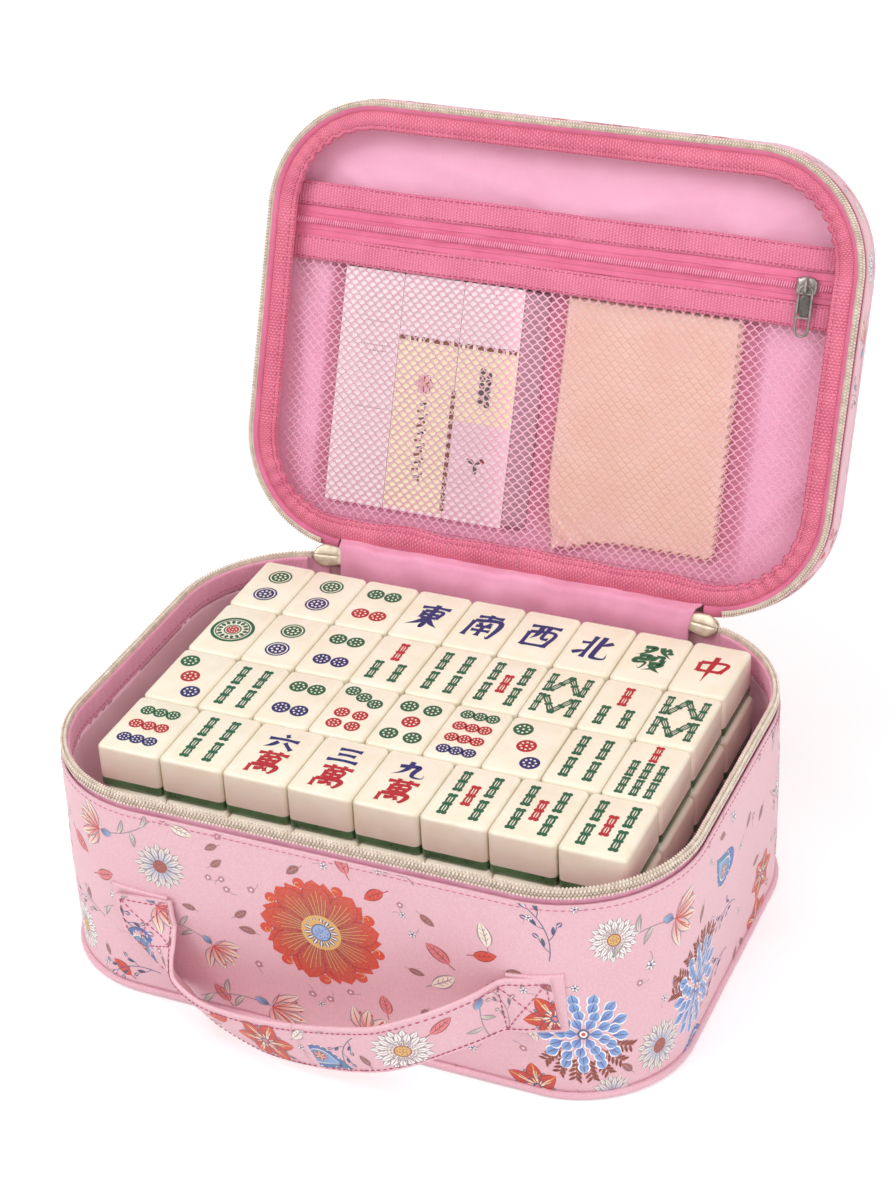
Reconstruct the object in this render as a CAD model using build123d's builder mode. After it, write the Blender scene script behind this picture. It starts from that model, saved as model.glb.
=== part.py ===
from build123d import *

import os
from math import cos, pi, radians, sin, sqrt

# A soft zip-round mahjong case, in millimetres. The origin is the middle of the flat bottom,
# +X runs along the case to the right, +Y to the hinge at the back, +Z up. The lid stands open.

# Case outline and height
case_width = 308.0
case_depth = 226.0
corner_radius = 64.0
corner_facets = 10
rim_height = 113.5
lid_depth = 22.2
lid_open_angle = 111.3

# Wall build-up, outside to inside
skin = 1.2
board = 2.4
lining = 0.6
ply_gap = 0.2

# Floor build-up
bottom_skin = 1.4
floor_board_thickness = 2.8
floor_pad_thickness = 20.4

# Piping at the bottom and lid edges
piping_radius = 1.8
piping_inset = 1.0

# Main zip
coil_height = 6.1
coil_thickness = 2.0
tape_thickness = 0.8
skin_hem_drop = 7.5
facing_height = 15.5
tape_set_down = 0.4
zip_end_reach = 10.7
hinge_panel_setback = 9.1
closing_gap = 0.2

# Main zip sliders and their pullers
slider_length = 16.0
slider_height = 9.6
slider_rise = 2.4
slider_plate = 1.4
slider_slot_clearance = 0.7
bridge_width = 2.2
bridge_bar = 1.2
bridge_length = 7.0
puller_width = 6.6
puller_thickness = 1.4
puller_length = 24.0
puller_eye = 3.8
puller_bar = 1.4
puller_end_radius = 3.2
puller_gap = 0.4

# Handle on the front wall
handle_centre_x = 6.0
handle_span = 208.6
handle_width = 27.0
handle_thickness = 2.4
handle_height = 48.0
patch_length = 24.0
handle_bow = 32.0
handle_sag = 23.0
handle_clearance = 0.3
handle_stations = 8

# Tiles, face up in layers
stack_room = 52.4
tile_face_thickness = 17.4
tile_back_thickness = 4.7
tile_joint_gap = 0.1
tile_gap = 0.4
layer_gap = 0.2
tile_edge_bevel = 1.4
tile_top_bevel = 0.8
tiles_across = 9
front_tiles_across = 8
tile_rows = 4
tile_layers = 4
stack_shift = (3.2, 2.8)
layer_shift = (2.2, -2.6)

# Lid lining, binding and net pocket
lid_lining_wall = 1.0
binding_inset = 5.9
binding_width = 8.4
binding_thickness = 3.2
binding_roll = 1.2
band_width = 12.0
band_thickness = 1.2
pocket_zip_setback = 63.5
pocket_zip_gap = 15.0
pocket_plane_depth = 11.2
pocket_tape_thickness = 0.8
pocket_coil_width = 4.2
pocket_coil_thickness = 1.2
pocket_stop_length = 3.6
net_thickness = 0.6
net_setback = 11.0
soft_gap = 0.3

# Pocket slider
pocket_slider_x = 125.7
pocket_slider_length = 10.5
pocket_slider_width = 9.6
pocket_slider_shell = 1.2
pocket_bridge_length = 9.0

# Things kept in the pocket
card_width = 36.0
card_count = 3
card_gap = 0.4
card_side_gap = 40.0
card_end_gap = 14.0
pocket_item_drop = 16.0
cloth_width = 89.0
cloth_left_x = 7.0
cloth_end_gap = 10.0
cloth_corner_radius = 4.0

# Worked out from the sizes above
half_width = case_width / 2
half_depth = case_depth / 2
facet_turn = pi / 2 / corner_facets
slider_turn = facet_turn
slider_centre_x = half_width - corner_radius + corner_radius * sin(slider_turn)
zip_end_x = slider_centre_x + zip_end_reach
hinge_half_width = slider_centre_x - hinge_panel_setback
board_inset = skin + ply_gap
lining_inset = board_inset + board + ply_gap
cavity_inset = lining_inset + lining
tape_inset = coil_thickness + ply_gap
facing_inset = tape_inset + tape_thickness + ply_gap
panel_inset = piping_inset + piping_radius + ply_gap
wall_foot = 2 * piping_radius + ply_gap
skin_top = rim_height - skin_hem_drop
facing_foot = rim_height - facing_height
floor_board_foot = bottom_skin + ply_gap
floor_pad_foot = floor_board_foot + floor_board_thickness + ply_gap
floor_lining_foot = floor_pad_foot + floor_pad_thickness + ply_gap
floor_top = floor_lining_foot + lining

# The stack leaves the same room all round, for the rounded corners of the case
tile_thickness = tile_face_thickness + tile_joint_gap + tile_back_thickness
tile_pitch_x = (case_width - stack_room) / tiles_across
tile_pitch_y = (case_depth - stack_room) / tile_rows
tile_length = tile_pitch_y - tile_gap
layer_pitch = tile_thickness + layer_gap
stack_top = floor_top + ply_gap + (tile_layers - 1) * layer_pitch + tile_thickness

lid_angle = radians(lid_open_angle)
lid_plane = Plane(
    origin=(0, half_depth - half_depth * cos(lid_angle), rim_height + half_depth * sin(lid_angle)),
    x_dir=(1, 0, 0),
    z_dir=(0, sin(lid_angle), cos(lid_angle)),
)

os.makedirs("parts", exist_ok=True)


def finish(piece, name):
    """Label one finished piece and write it to its own file."""
    piece.part.label = name
    export_step(piece.part, f"parts/{name}.step")


def outline(inset, mode=Mode.ADD):
    """The case's outline, moved in by the inset; each corner is turned by flats that touch its round."""
    reach = (corner_radius - inset) / cos(facet_turn / 2)
    centre_x = half_width - corner_radius
    centre_y = half_depth - corner_radius
    points = []
    for quarter, (side_x, side_y) in enumerate(((1, 1), (-1, 1), (-1, -1), (1, -1))):
        for facet in range(corner_facets):
            angle = (quarter * corner_facets + facet + 1 / 2) * facet_turn
            points.append((side_x * centre_x + reach * cos(angle), side_y * centre_y + reach * sin(angle)))
    Polygon(*points, mode=mode)


def back_block(half_length, mode):
    """A rectangle over the back half of the outline, as wide as one hinge feature."""
    with Locations((0, half_depth)):
        Rectangle(2 * half_length, case_depth, mode=mode)


def band_round(plane, outer, inner, low, high, open_back=0.0):
    """An upright band that follows the outline, left open at the back where the hinge is."""
    with BuildPart() as band:
        with BuildSketch(plane.offset(low)):
            outline(outer)
            outline(inner, Mode.SUBTRACT)
            if open_back:
                back_block(open_back, Mode.SUBTRACT)
        extrude(amount=high - low)
    return band


def back_strip(plane, outer, inner, low, high, half_length):
    """The part of a band that lies between the two zip ends, at the hinge."""
    with BuildPart() as strip:
        with BuildSketch(plane.offset(low)):
            outline(outer)
            outline(inner, Mode.SUBTRACT)
            back_block(half_length, Mode.INTERSECT)
        extrude(amount=high - low)
    return strip


def panel(plane, inset, low, high):
    """A flat panel with the case's outline."""
    with BuildPart() as sheet:
        with BuildSketch(plane.offset(low)):
            outline(inset)
        extrude(amount=high - low)
    return sheet


def piping(plane, height):
    """The corded seam that joins a side wall to its flat panel, octagonal in section."""
    with BuildPart() as cord:
        with BuildSketch(plane.offset(height - piping_radius)):
            outline(piping_inset - piping_radius)
            outline(piping_inset + piping_radius, Mode.SUBTRACT)
        extrude(amount=2 * piping_radius)
        ends = cord.faces().sort_by(Axis((0, 0, 0), plane.z_dir))
        chamfer(ends[0].edges() + ends[-1].edges(), length=2 * piping_radius / (2 + sqrt(2)))
    return cord


# Base: printed skin, boards and lining, closed at the bottom by a piped panel
finish(band_round(Plane.XY, 0, skin, wall_foot, skin_top), "base_side_wall")
finish(panel(Plane.XY, panel_inset, 0, bottom_skin), "base_bottom_panel")
finish(piping(Plane.XY, piping_radius + ply_gap), "base_piping")
finish(
    band_round(Plane.XY, board_inset, board_inset + board, floor_pad_foot, facing_foot - ply_gap),
    "base_wall_board",
)
finish(
    panel(Plane.XY, panel_inset, floor_board_foot, floor_board_foot + floor_board_thickness),
    "base_floor_board",
)
finish(
    panel(Plane.XY, lining_inset, floor_pad_foot, floor_pad_foot + floor_pad_thickness),
    "base_floor_pad",
)
finish(panel(Plane.XY, lining_inset, floor_lining_foot, floor_top), "base_floor_lining")
finish(
    band_round(Plane.XY, lining_inset, cavity_inset, floor_top + ply_gap, facing_foot - ply_gap),
    "base_wall_lining",
)

# Rim of the base: zip coil outside, its tape behind it, and the woven facing inside
coil_top = rim_height - closing_gap
tape_top = coil_top - tape_set_down
finish(band_round(Plane.XY, 0, coil_thickness, coil_top - coil_height, coil_top, zip_end_x), "base_zip_coil")
finish(
    band_round(
        Plane.XY, tape_inset, tape_inset + tape_thickness, facing_foot, tape_top, slider_centre_x
    ),
    "base_zip_tape",
)
finish(
    band_round(Plane.XY, facing_inset, cavity_inset, facing_foot, tape_top + ply_gap, zip_end_x),
    "base_rim_facing",
)

# Hinge: printed panel outside and lining inside, parted along the fold
finish(
    back_strip(Plane.XY, 0, skin, skin_top + ply_gap, coil_top, hinge_half_width),
    "hinge_panel",
)
finish(
    back_strip(Plane.XY, facing_inset, cavity_inset, facing_foot, tape_top, hinge_half_width),
    "hinge_lining",
)

# Lid shell: the same build-up as the base, laid out on the lid's own plane
lid_piping_depth = lid_depth - piping_radius
lid_board_face = lid_depth - bottom_skin - ply_gap
lid_lining_face = lid_board_face - board - ply_gap
lid_floor = lid_lining_face - lining
lid_wall_top = lid_piping_depth - piping_radius - ply_gap
finish(band_round(lid_plane, 0, skin, skin_hem_drop, lid_wall_top), "lid_side_wall")
finish(panel(lid_plane, panel_inset, lid_depth - bottom_skin, lid_depth), "lid_top_panel")
finish(piping(lid_plane, lid_piping_depth), "lid_piping")
finish(panel(lid_plane, panel_inset, lid_board_face - board, lid_board_face), "lid_board")
finish(
    band_round(
        lid_plane, board_inset, board_inset + board, skin_hem_drop + ply_gap, lid_board_face - board - ply_gap
    ),
    "lid_wall_board",
)
finish(panel(lid_plane, lining_inset, lid_floor, lid_lining_face), "lid_lining")
binding_foot = stack_top - rim_height + closing_gap
finish(
    band_round(
        lid_plane,
        lining_inset,
        lining_inset + lid_lining_wall,
        binding_foot + binding_thickness + ply_gap,
        lid_floor - ply_gap,
    ),
    "lid_wall_lining",
)

# Rim of the lid: coil, tape and the ribbed binding that rolls inwards over the seam
finish(
    band_round(lid_plane, 0, coil_thickness, closing_gap, closing_gap + coil_height, zip_end_x),
    "lid_zip_coil",
)
finish(
    band_round(
        lid_plane,
        tape_inset,
        tape_inset + tape_thickness,
        closing_gap + tape_set_down,
        skin_hem_drop,
        zip_end_x,
    ),
    "lid_zip_tape",
)
with BuildPart() as lid_binding:
    with BuildSketch(lid_plane.offset(binding_foot)):
        outline(binding_inset)
        outline(binding_inset + binding_width, Mode.SUBTRACT)
    extrude(amount=binding_thickness)
    roll_edges = lid_binding.faces().sort_by(Axis((0, 0, 0), lid_plane.z_dir))[0].edges()
    chamfer(roll_edges, length=binding_roll)
finish(lid_binding, "lid_binding")
finish(
    back_strip(lid_plane, 0, skin, closing_gap, skin_hem_drop - ply_gap, hinge_half_width),
    "lid_hinge_strip",
)

# Pocket: two webbing bands with a zip between them, and a net from the lower band to the binding
pocket_edge = lining_inset + lid_lining_wall + soft_gap
pocket_zip_y = pocket_zip_setback - half_depth
net_end_y = half_depth - net_setback
zip_half_gap = pocket_zip_gap / 2


def pocket_piece(low_y, high_y, depth, thickness):
    """A flat strip across the lid, trimmed to the lining on both sides."""
    with BuildPart() as strip:
        with BuildSketch(lid_plane.offset(depth)):
            with Locations((0, (low_y + high_y) / 2)):
                Rectangle(case_width, high_y - low_y)
            outline(pocket_edge, Mode.INTERSECT)
        extrude(amount=thickness)
    return strip


upper_band_edge = pocket_zip_y - zip_half_gap
lower_band_edge = pocket_zip_y + zip_half_gap
tape_depth = pocket_plane_depth + band_thickness - pocket_tape_thickness
finish(
    pocket_piece(upper_band_edge - band_width, upper_band_edge, pocket_plane_depth, band_thickness),
    "pocket_upper_band",
)
finish(
    pocket_piece(lower_band_edge, lower_band_edge + band_width, pocket_plane_depth, band_thickness),
    "pocket_lower_band",
)
finish(
    pocket_piece(
        upper_band_edge + ply_gap, lower_band_edge - ply_gap, tape_depth, pocket_tape_thickness
    ),
    "pocket_zip_tape",
)
net_depth = pocket_plane_depth + band_thickness - net_thickness
net_start_y = lower_band_edge + band_width + ply_gap
finish(pocket_piece(net_start_y, net_end_y, net_depth, net_thickness), "pocket_net")

pocket_half_length = half_width - pocket_edge - pocket_stop_length - ply_gap
coil_depth = tape_depth - pocket_coil_thickness
with BuildPart() as pocket_zip_coil:
    with BuildSketch(lid_plane.offset(coil_depth)):
        with Locations((0, pocket_zip_y)):
            Rectangle(2 * pocket_half_length, pocket_coil_width)
    extrude(amount=pocket_coil_thickness)
finish(pocket_zip_coil, "pocket_zip_coil")

with BuildPart() as pocket_zip_stops:
    stop_x = pocket_half_length + ply_gap + pocket_stop_length / 2
    with BuildSketch(lid_plane.offset(coil_depth)):
        with Locations((-stop_x, pocket_zip_y), (stop_x, pocket_zip_y)):
            Rectangle(pocket_stop_length, 2 * pocket_coil_width)
    extrude(amount=pocket_coil_thickness)
finish(pocket_zip_stops, "pocket_zip_stops")


def slider_arch(plane, x, y, foot, clear_height, length):
    """The bridge of a zip slider: two legs and a bar that traps the puller's eye."""
    with BuildSketch(plane.offset(foot)) as block:
        with Locations((x, y)):
            Rectangle(bridge_width, length)
    extrude(block.sketch, amount=-(clear_height + bridge_bar))
    with BuildSketch(plane.offset(foot)) as room:
        with Locations((x, y)):
            Rectangle(2 * bridge_width, length - 2 * bridge_bar)
    extrude(room.sketch, amount=-clear_height, mode=Mode.SUBTRACT)


def puller(plane, x, y, depth):
    """A flat puller: an eye round the bridge, a solid grip and a rounded open loop at its end."""
    eye_length = puller_eye + 2 * bridge_bar
    with BuildPart() as tab:
        with BuildSketch(plane.offset(depth)):
            with Locations((x, y + puller_length / 2)):
                Rectangle(puller_width, puller_length)
            with Locations((x, y + puller_bar + eye_length / 2)):
                Rectangle(puller_eye, eye_length, mode=Mode.SUBTRACT)
            with Locations((x, y + puller_length - puller_end_radius - puller_bar)):
                Rectangle(puller_eye, eye_length / 2, mode=Mode.SUBTRACT)
        extrude(amount=-puller_thickness)
        upright = tab.edges().filter_by(Axis((0, 0, 0), plane.z_dir))
        far_end = Axis((0, 0, 0), plane.y_dir)
        fillet(upright.group_by(far_end)[-1], radius=puller_end_radius)
    return tab


# Pocket slider: a domed shell that straddles the coil, with its bridge facing into the case
shell_foot = tape_depth - soft_gap
shell_roof = coil_depth - soft_gap
slider_inner_width = pocket_coil_width + 2 * soft_gap
eye_room = puller_thickness + 2 * puller_gap
with BuildPart() as pocket_slider:
    with BuildSketch(lid_plane.offset(shell_foot)):
        with Locations((pocket_slider_x, pocket_zip_y)):
            RectangleRounded(pocket_slider_length, pocket_slider_width, pocket_slider_width / 3)
    extrude(amount=-(shell_foot - shell_roof + pocket_slider_shell))
    with BuildSketch(lid_plane.offset(shell_foot)):
        with Locations((pocket_slider_x, pocket_zip_y)):
            Rectangle(2 * pocket_slider_length, slider_inner_width)
    extrude(amount=-(shell_foot - shell_roof), mode=Mode.SUBTRACT)
    arch_foot = shell_roof - pocket_slider_shell
    slider_arch(lid_plane, pocket_slider_x, pocket_zip_y, arch_foot, eye_room, pocket_bridge_length)
finish(pocket_slider, "pocket_slider")
finish(
    puller(
        lid_plane, pocket_slider_x, pocket_zip_y - puller_bar / 2, arch_foot - puller_gap
    ),
    "pocket_puller",
)

# Kept in the pocket: a fan of score cards and a folded wiping cloth
item_depth = net_depth + net_thickness + soft_gap
item_thickness = lid_floor - soft_gap - item_depth
item_top_y = lower_band_edge + pocket_item_drop
card_length = net_end_y - card_end_gap - item_top_y
with BuildPart() as score_cards:
    with BuildSketch(lid_plane.offset(item_depth)):
        for number in range(card_count):
            card_x = card_side_gap - half_width + card_width / 2 + number * (card_width + card_gap)
            with Locations((card_x, item_top_y + card_length / 2)):
                Rectangle(card_width, card_length)
    extrude(amount=item_thickness)
finish(score_cards, "score_cards")

cloth_length = net_end_y - cloth_end_gap - item_top_y
with BuildPart() as folded_cloth:
    with BuildSketch(lid_plane.offset(item_depth)):
        with Locations((cloth_left_x + cloth_width / 2, item_top_y + cloth_length / 2)):
            RectangleRounded(cloth_width, cloth_length, cloth_corner_radius)
    extrude(amount=item_thickness)
finish(folded_cloth, "folded_cloth")


# Main zip sliders: one at each zip end, set square to the first flat of the corner
def corner_plane(side):
    """The plane tangent to the case's outer face at a slider, with its normal outwards."""
    centre_y = half_depth - corner_radius + corner_radius * cos(slider_turn)
    return Plane(
        origin=(side * slider_centre_x, centre_y, rim_height),
        x_dir=(-cos(slider_turn), side * sin(slider_turn), 0),
        z_dir=(side * sin(slider_turn), cos(slider_turn), 0),
    )


inner_plate_face = -(tape_inset + tape_thickness + slider_slot_clearance)
outer_plate_face = -(tape_inset - slider_slot_clearance)
slot_width = outer_plate_face - inner_plate_face
slider_middle = slider_rise - slider_height / 2
main_arch_drop = slider_height - slider_rise - bridge_length / 2
main_arch_foot = -(outer_plate_face + slider_plate)
for side, name in ((-1, "left"), (1, "right")):
    face = corner_plane(side)
    hanging = Plane(face.origin, x_dir=face.x_dir, z_dir=face.z_dir * -1)
    with BuildPart() as main_slider:
        with BuildSketch(face.offset(inner_plate_face - slider_plate)):
            with Locations((0, slider_middle)):
                RectangleRounded(slider_length, slider_height, slider_height / 4)
        extrude(amount=slot_width + 2 * slider_plate)
        with BuildSketch(face.offset(inner_plate_face)):
            Rectangle(2 * slider_length, 3 * slider_height)
            with Locations((0, slider_rise)):
                Rectangle(slider_length / 2, 2 * (slider_rise + closing_gap), mode=Mode.SUBTRACT)
        extrude(amount=slot_width, mode=Mode.SUBTRACT)
        slider_arch(hanging, 0, main_arch_drop, main_arch_foot, eye_room, bridge_length)
    finish(main_slider, f"zip_slider_{name}")
    pivot_y = main_arch_drop - puller_bar / 2
    finish(puller(hanging, 0, pivot_y, main_arch_foot - puller_gap), f"zip_puller_{name}")

# Handle: a flat strap between two patches sewn on the front wall
patch_reach = handle_span / 2 - patch_length / 2
for side, name in ((-1, "left"), (1, "right")):
    with BuildPart() as patch:
        with BuildSketch(Plane.XY.offset(handle_height - handle_width / 2)):
            outline(-handle_clearance - handle_thickness)
            outline(-handle_clearance, Mode.SUBTRACT)
            with Locations((handle_centre_x + side * patch_reach, -half_depth)):
                Rectangle(patch_length, case_depth, mode=Mode.INTERSECT)
        extrude(amount=handle_width)
    finish(patch, f"handle_patch_{name}")


def strap_section(share):
    """The strap's cross-section at a share of its free length, square to its line in plan."""
    free = handle_span - 2 * patch_length - 2 * handle_clearance - handle_thickness
    wave = sin(pi * share)
    slope = handle_bow * pi * cos(pi * share) / free
    middle = Vector(
        handle_centre_x - free / 2 + free * share,
        -half_depth - handle_clearance - handle_thickness / 2 - handle_bow * wave,
        handle_height - handle_sag * wave,
    )
    return Plane(middle, x_dir=(0, 0, 1), z_dir=(1, -slope, 0))


with BuildPart() as handle_strap:
    for station in range(handle_stations + 1):
        with BuildSketch(strap_section(station / handle_stations)):
            Rectangle(handle_width, handle_thickness)
    loft()
finish(handle_strap, "handle_strap")


# Tiles: each is an ivory face block on a green back; one node for each row or layer
def row_middles(row, columns):
    """Centres of the tiles in one row, left to right, counted from the stack's middle."""
    pitch = tiles_across * tile_pitch_x / columns
    y = (tile_rows - 1 - 2 * row) / 2 * tile_pitch_y
    return [((column - (columns - 1) / 2) * pitch, y) for column in range(columns)]


def tile_blocks(rows, shift, foot, height, rounded):
    """The blocks of one material for some rows of a layer."""
    blocks = []
    for row in rows:
        columns = front_tiles_across if row == tile_rows - 1 else tiles_across
        width = tiles_across * tile_pitch_x / columns - tile_gap
        with BuildPart() as block:
            with BuildSketch(Plane.XY.offset(foot)):
                Rectangle(width, tile_length)
            extrude(amount=height)
            if rounded:
                chamfer(block.edges().filter_by(Axis.Z), length=tile_edge_bevel)
                chamfer(block.faces().sort_by(Axis.Z)[-1].edges(), length=tile_top_bevel)
        for x, y in row_middles(row, columns):
            blocks.append(Pos(x + shift[0], y + shift[1], 0) * block.part)
    with BuildPart() as group:
        add(blocks)
    return group


for layer in range(tile_layers):
    back_foot = floor_top + ply_gap + (tile_layers - 1 - layer) * layer_pitch
    face_foot = back_foot + tile_back_thickness + tile_joint_gap
    drift = (layer % 2 * layer_shift[0], layer % 2 * layer_shift[1])
    shift = (stack_shift[0] + drift[0], stack_shift[1] + drift[1])
    if layer == 0:
        for row in range(tile_rows):
            place = f"top_row_{row + 1}"
            finish(tile_blocks([row], shift, face_foot, tile_face_thickness, True), f"{place}_faces")
            finish(tile_blocks([row], shift, back_foot, tile_back_thickness, False), f"{place}_backs")
    else:
        place = f"layer_{layer + 1}"
        rows = range(tile_rows)
        finish(tile_blocks(rows, shift, face_foot, tile_face_thickness, False), f"{place}_faces")
        finish(tile_blocks(rows, shift, back_foot, tile_back_thickness, False), f"{place}_backs")
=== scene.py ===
"""A soft zip-round case for a mahjong set: printed leatherette outside, rose webbing and pink lining
inside, with four layers of tiles in the base and a net pocket in the lid. Everything is in metres."""

from math import cos, pi, radians, sin

import bpy
import numpy as np
from mathutils import Matrix, Vector


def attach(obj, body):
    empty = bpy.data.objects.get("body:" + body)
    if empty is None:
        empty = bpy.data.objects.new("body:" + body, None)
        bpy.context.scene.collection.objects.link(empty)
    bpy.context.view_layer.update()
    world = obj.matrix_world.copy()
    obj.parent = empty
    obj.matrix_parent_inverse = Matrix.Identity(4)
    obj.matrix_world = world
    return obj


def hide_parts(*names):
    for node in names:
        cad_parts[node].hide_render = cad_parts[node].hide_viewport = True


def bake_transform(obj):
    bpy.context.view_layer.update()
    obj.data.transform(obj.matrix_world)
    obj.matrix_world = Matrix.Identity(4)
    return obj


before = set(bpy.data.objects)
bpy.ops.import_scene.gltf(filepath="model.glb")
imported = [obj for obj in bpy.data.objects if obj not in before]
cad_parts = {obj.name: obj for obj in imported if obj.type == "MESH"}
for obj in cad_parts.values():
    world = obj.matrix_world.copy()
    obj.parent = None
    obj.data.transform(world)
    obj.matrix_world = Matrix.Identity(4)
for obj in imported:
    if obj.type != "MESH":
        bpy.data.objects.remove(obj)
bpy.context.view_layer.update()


# ---------------------------------------------------------------- base side wall
# The wall is one long piece of printed leatherette over board. It is cut straight, wrapped round
# the case and sewn to the bottom with a corded seam, so it draws in a little towards the floor.

CASE = (0.308, 0.226, 0.064)
FOOT = (0.3025, 0.2210, 0.0520)
RIM = 0.1135
WALL_TOP = 0.1060
HALF_BACK, QUARTER, SIDE = 0.090, 0.10053, 0.098
LEGS = np.array([HALF_BACK, QUARTER, SIDE, QUARTER, 2 * HALF_BACK, QUARTER, SIDE, QUARTER, HALF_BACK])
ROUND = LEGS.sum()
SKIN, BELLY, UNEVEN = 0.0011, 0.0009, 0.00022


def case_line(t, shape=CASE):
    """Points and outward normals at distances t round a case, from the middle of its back by the left side.

    A rounded rectangle is the path of a circle whose centre runs along a smaller rectangle: on a
    straight the centre moves, on a corner the normal turns by a quarter. The share of each leg is
    taken on the full-size case, so that the same t on two shapes is the same place on the case."""
    width, depth, corner = shape
    ends = np.concatenate([[0], np.cumsum(LEGS)])
    t = np.mod(np.asarray(t, float), ends[-1])
    leg = np.clip(np.searchsorted(ends, t, side="right") - 1, 0, len(LEGS) - 1)
    share = (t - ends[leg]) / LEGS[leg]
    x, y = width / 2 - corner, depth / 2 - corner
    centres = np.array([(0, y), (-x, y), (-x, -y), (x, -y), (x, y), (0, y)])
    first = (leg + 1) // 2
    last = np.minimum(first + 1, 5)
    straight = (leg % 2 == 0) * share
    centre = centres[first] + (centres[last] - centres[first]) * straight[..., None]
    turn = pi / 2 * (1 + leg // 2 + (leg % 2) * share)
    normal = np.stack([np.cos(turn), np.sin(turn)], -1)
    return centre + corner * normal, normal


def inset_line(t, shape, inset):
    """The x and the y of points at distances t round a case, moved inwards from it by an inset."""
    flat, normal = case_line(t, shape)
    spot = flat - normal * np.asarray(inset)[..., None]
    return spot[..., 0], spot[..., 1]


def base_wall(t, z, lift=0.0):
    """A point of the wall's outer face: the foot and rim outlines mixed by height, with a soft belly
    of a sine over the height and a low unevenness of three long waves along the wall."""
    t, z = np.broadcast_arrays(np.asarray(t, float), np.asarray(z, float))
    low, _ = case_line(t, FOOT)
    high, normal = case_line(t)
    share = np.clip(z / WALL_TOP, 0, 1)
    turn = 2 * pi * t / ROUND
    wave = np.sin(2 * turn + 1) + np.sin(6 * turn + 60 * z) + 0.7 * np.sin(11 * turn - 90 * z + 2)
    out = (BELLY + UNEVEN * wave) * np.sin(pi * share) + lift
    flat = low + (high - low) * share[..., None] + normal * out[..., None]
    return np.concatenate([flat, z[..., None]], -1)


def grid(*coordinates):
    """Points from their coordinates, each of which may be a number, a row, a column or a grid."""
    return np.stack(np.broadcast_arrays(*coordinates), -1)


def quads_of(rows, columns, close_rows=False, close_columns=False):
    """The faces of a grid of points. They face along the cross product of row and column direction."""
    i = np.arange(rows if close_rows else rows - 1)[:, None]
    j = np.arange(columns if close_columns else columns - 1)[None, :]
    next_i, next_j = (i + 1) % rows, (j + 1) % columns
    corners = [i * columns + j, next_i * columns + j, next_i * columns + next_j, i * columns + next_j]
    return np.stack(corners, -1).reshape(-1, 4)


def mesh_piece(
    name, points, quads, finish, body=None, node=(), thick=None,
    slot=None, colours=None, spread=None, smooth=True,
):
    """An object made from points and four-cornered faces, with a colour for each face and a flat layout in
    metres where they are given. It rides on its body, if one is given, and stands for its CAD node. A cloth's
    thickness grows inwards from the face that is modelled."""
    points = np.asarray(points, np.float32).reshape(-1, 3)
    quads = np.asarray(quads, np.int32)
    mesh = bpy.data.meshes.new(name)
    mesh.vertices.add(len(points))
    mesh.vertices.foreach_set("co", points.ravel())
    mesh.loops.add(quads.size)
    mesh.loops.foreach_set("vertex_index", quads.ravel())
    mesh.polygons.add(len(quads))
    mesh.polygons.foreach_set("loop_start", np.arange(0, quads.size, 4, dtype=np.int32))
    mesh.polygons.foreach_set("use_smooth", np.full(len(quads), smooth))
    if colours is not None:
        tint = mesh.color_attributes.new("tint", "FLOAT_COLOR", "CORNER")
        rgba = np.insert(np.broadcast_to(colours, (len(quads), 3)), 3, 1.0, axis=1)
        tint.data.foreach_set("color", np.repeat(rgba, 4, 0).astype(np.float32).ravel())
    if spread is not None:
        layout = mesh.uv_layers.new(name="spread")
        layout.data.foreach_set("uv", np.asarray(spread, np.float32).reshape(-1, 2)[quads.ravel()].ravel())
    mesh.update(calc_edges=True)
    mesh.validate()
    piece = bpy.data.objects.new(name, mesh)
    bpy.context.collection.objects.link(piece)
    piece.data.materials.append(finish.material)
    if body:
        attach(piece, body)
    if thick:
        wall = piece.modifiers.new("thickness", "SOLIDIFY")
        wall.thickness, wall.offset = thick, -1
    if node:
        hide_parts(*([node] if isinstance(node, str) else node))
    return piece


class Socket:
    """A value on its way through a material: arithmetic on it adds the Math nodes."""

    def __init__(self, finish, link):
        self.finish, self.link = finish, link

    def math(self, operation, *others):
        """The value after one operation of a Math node."""
        return self.finish.node("ShaderNodeMath", {"operation": operation}, dict(enumerate((self, *others))))

    def __add__(self, other):
        return self.math("ADD", other)

    def __sub__(self, other):
        return self.math("SUBTRACT", other)

    def __rsub__(self, other):
        return self.finish.node("ShaderNodeMath", {"operation": "SUBTRACT"}, {0: other, 1: self})

    def __mul__(self, other):
        return self.math("MULTIPLY", other)

    def __pow__(self, other):
        return self.math("POWER", other)

    __radd__ = __add__
    __rmul__ = __mul__

    def wave(self, pitch):
        """A ridge from 0 to 1 and back once in each pitch."""
        return (self * (2 * pi / pitch)).math("SINE") * 0.5 + 0.5

    def crossed(self, first, second):
        """The product of two waves along the two ways of a flat cloth, from 0 to 1: their half
        lengths are given."""
        along, across = ((self.part(k) * (pi / half)).math("SINE") for k, half in ((0, first), (1, second)))
        return along * across * 0.5 + 0.5

    def between(self, low, high):
        """How far the value is from low to high, kept from 0 to 1."""
        return self.finish.node("ShaderNodeMapRange", {}, {0: self, 1: low, 2: high}, "Result")

    def part(self, axis):
        """One coordinate of a vector."""
        return self.finish.node("ShaderNodeSeparateXYZ", {}, {0: self}, axis)


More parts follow.
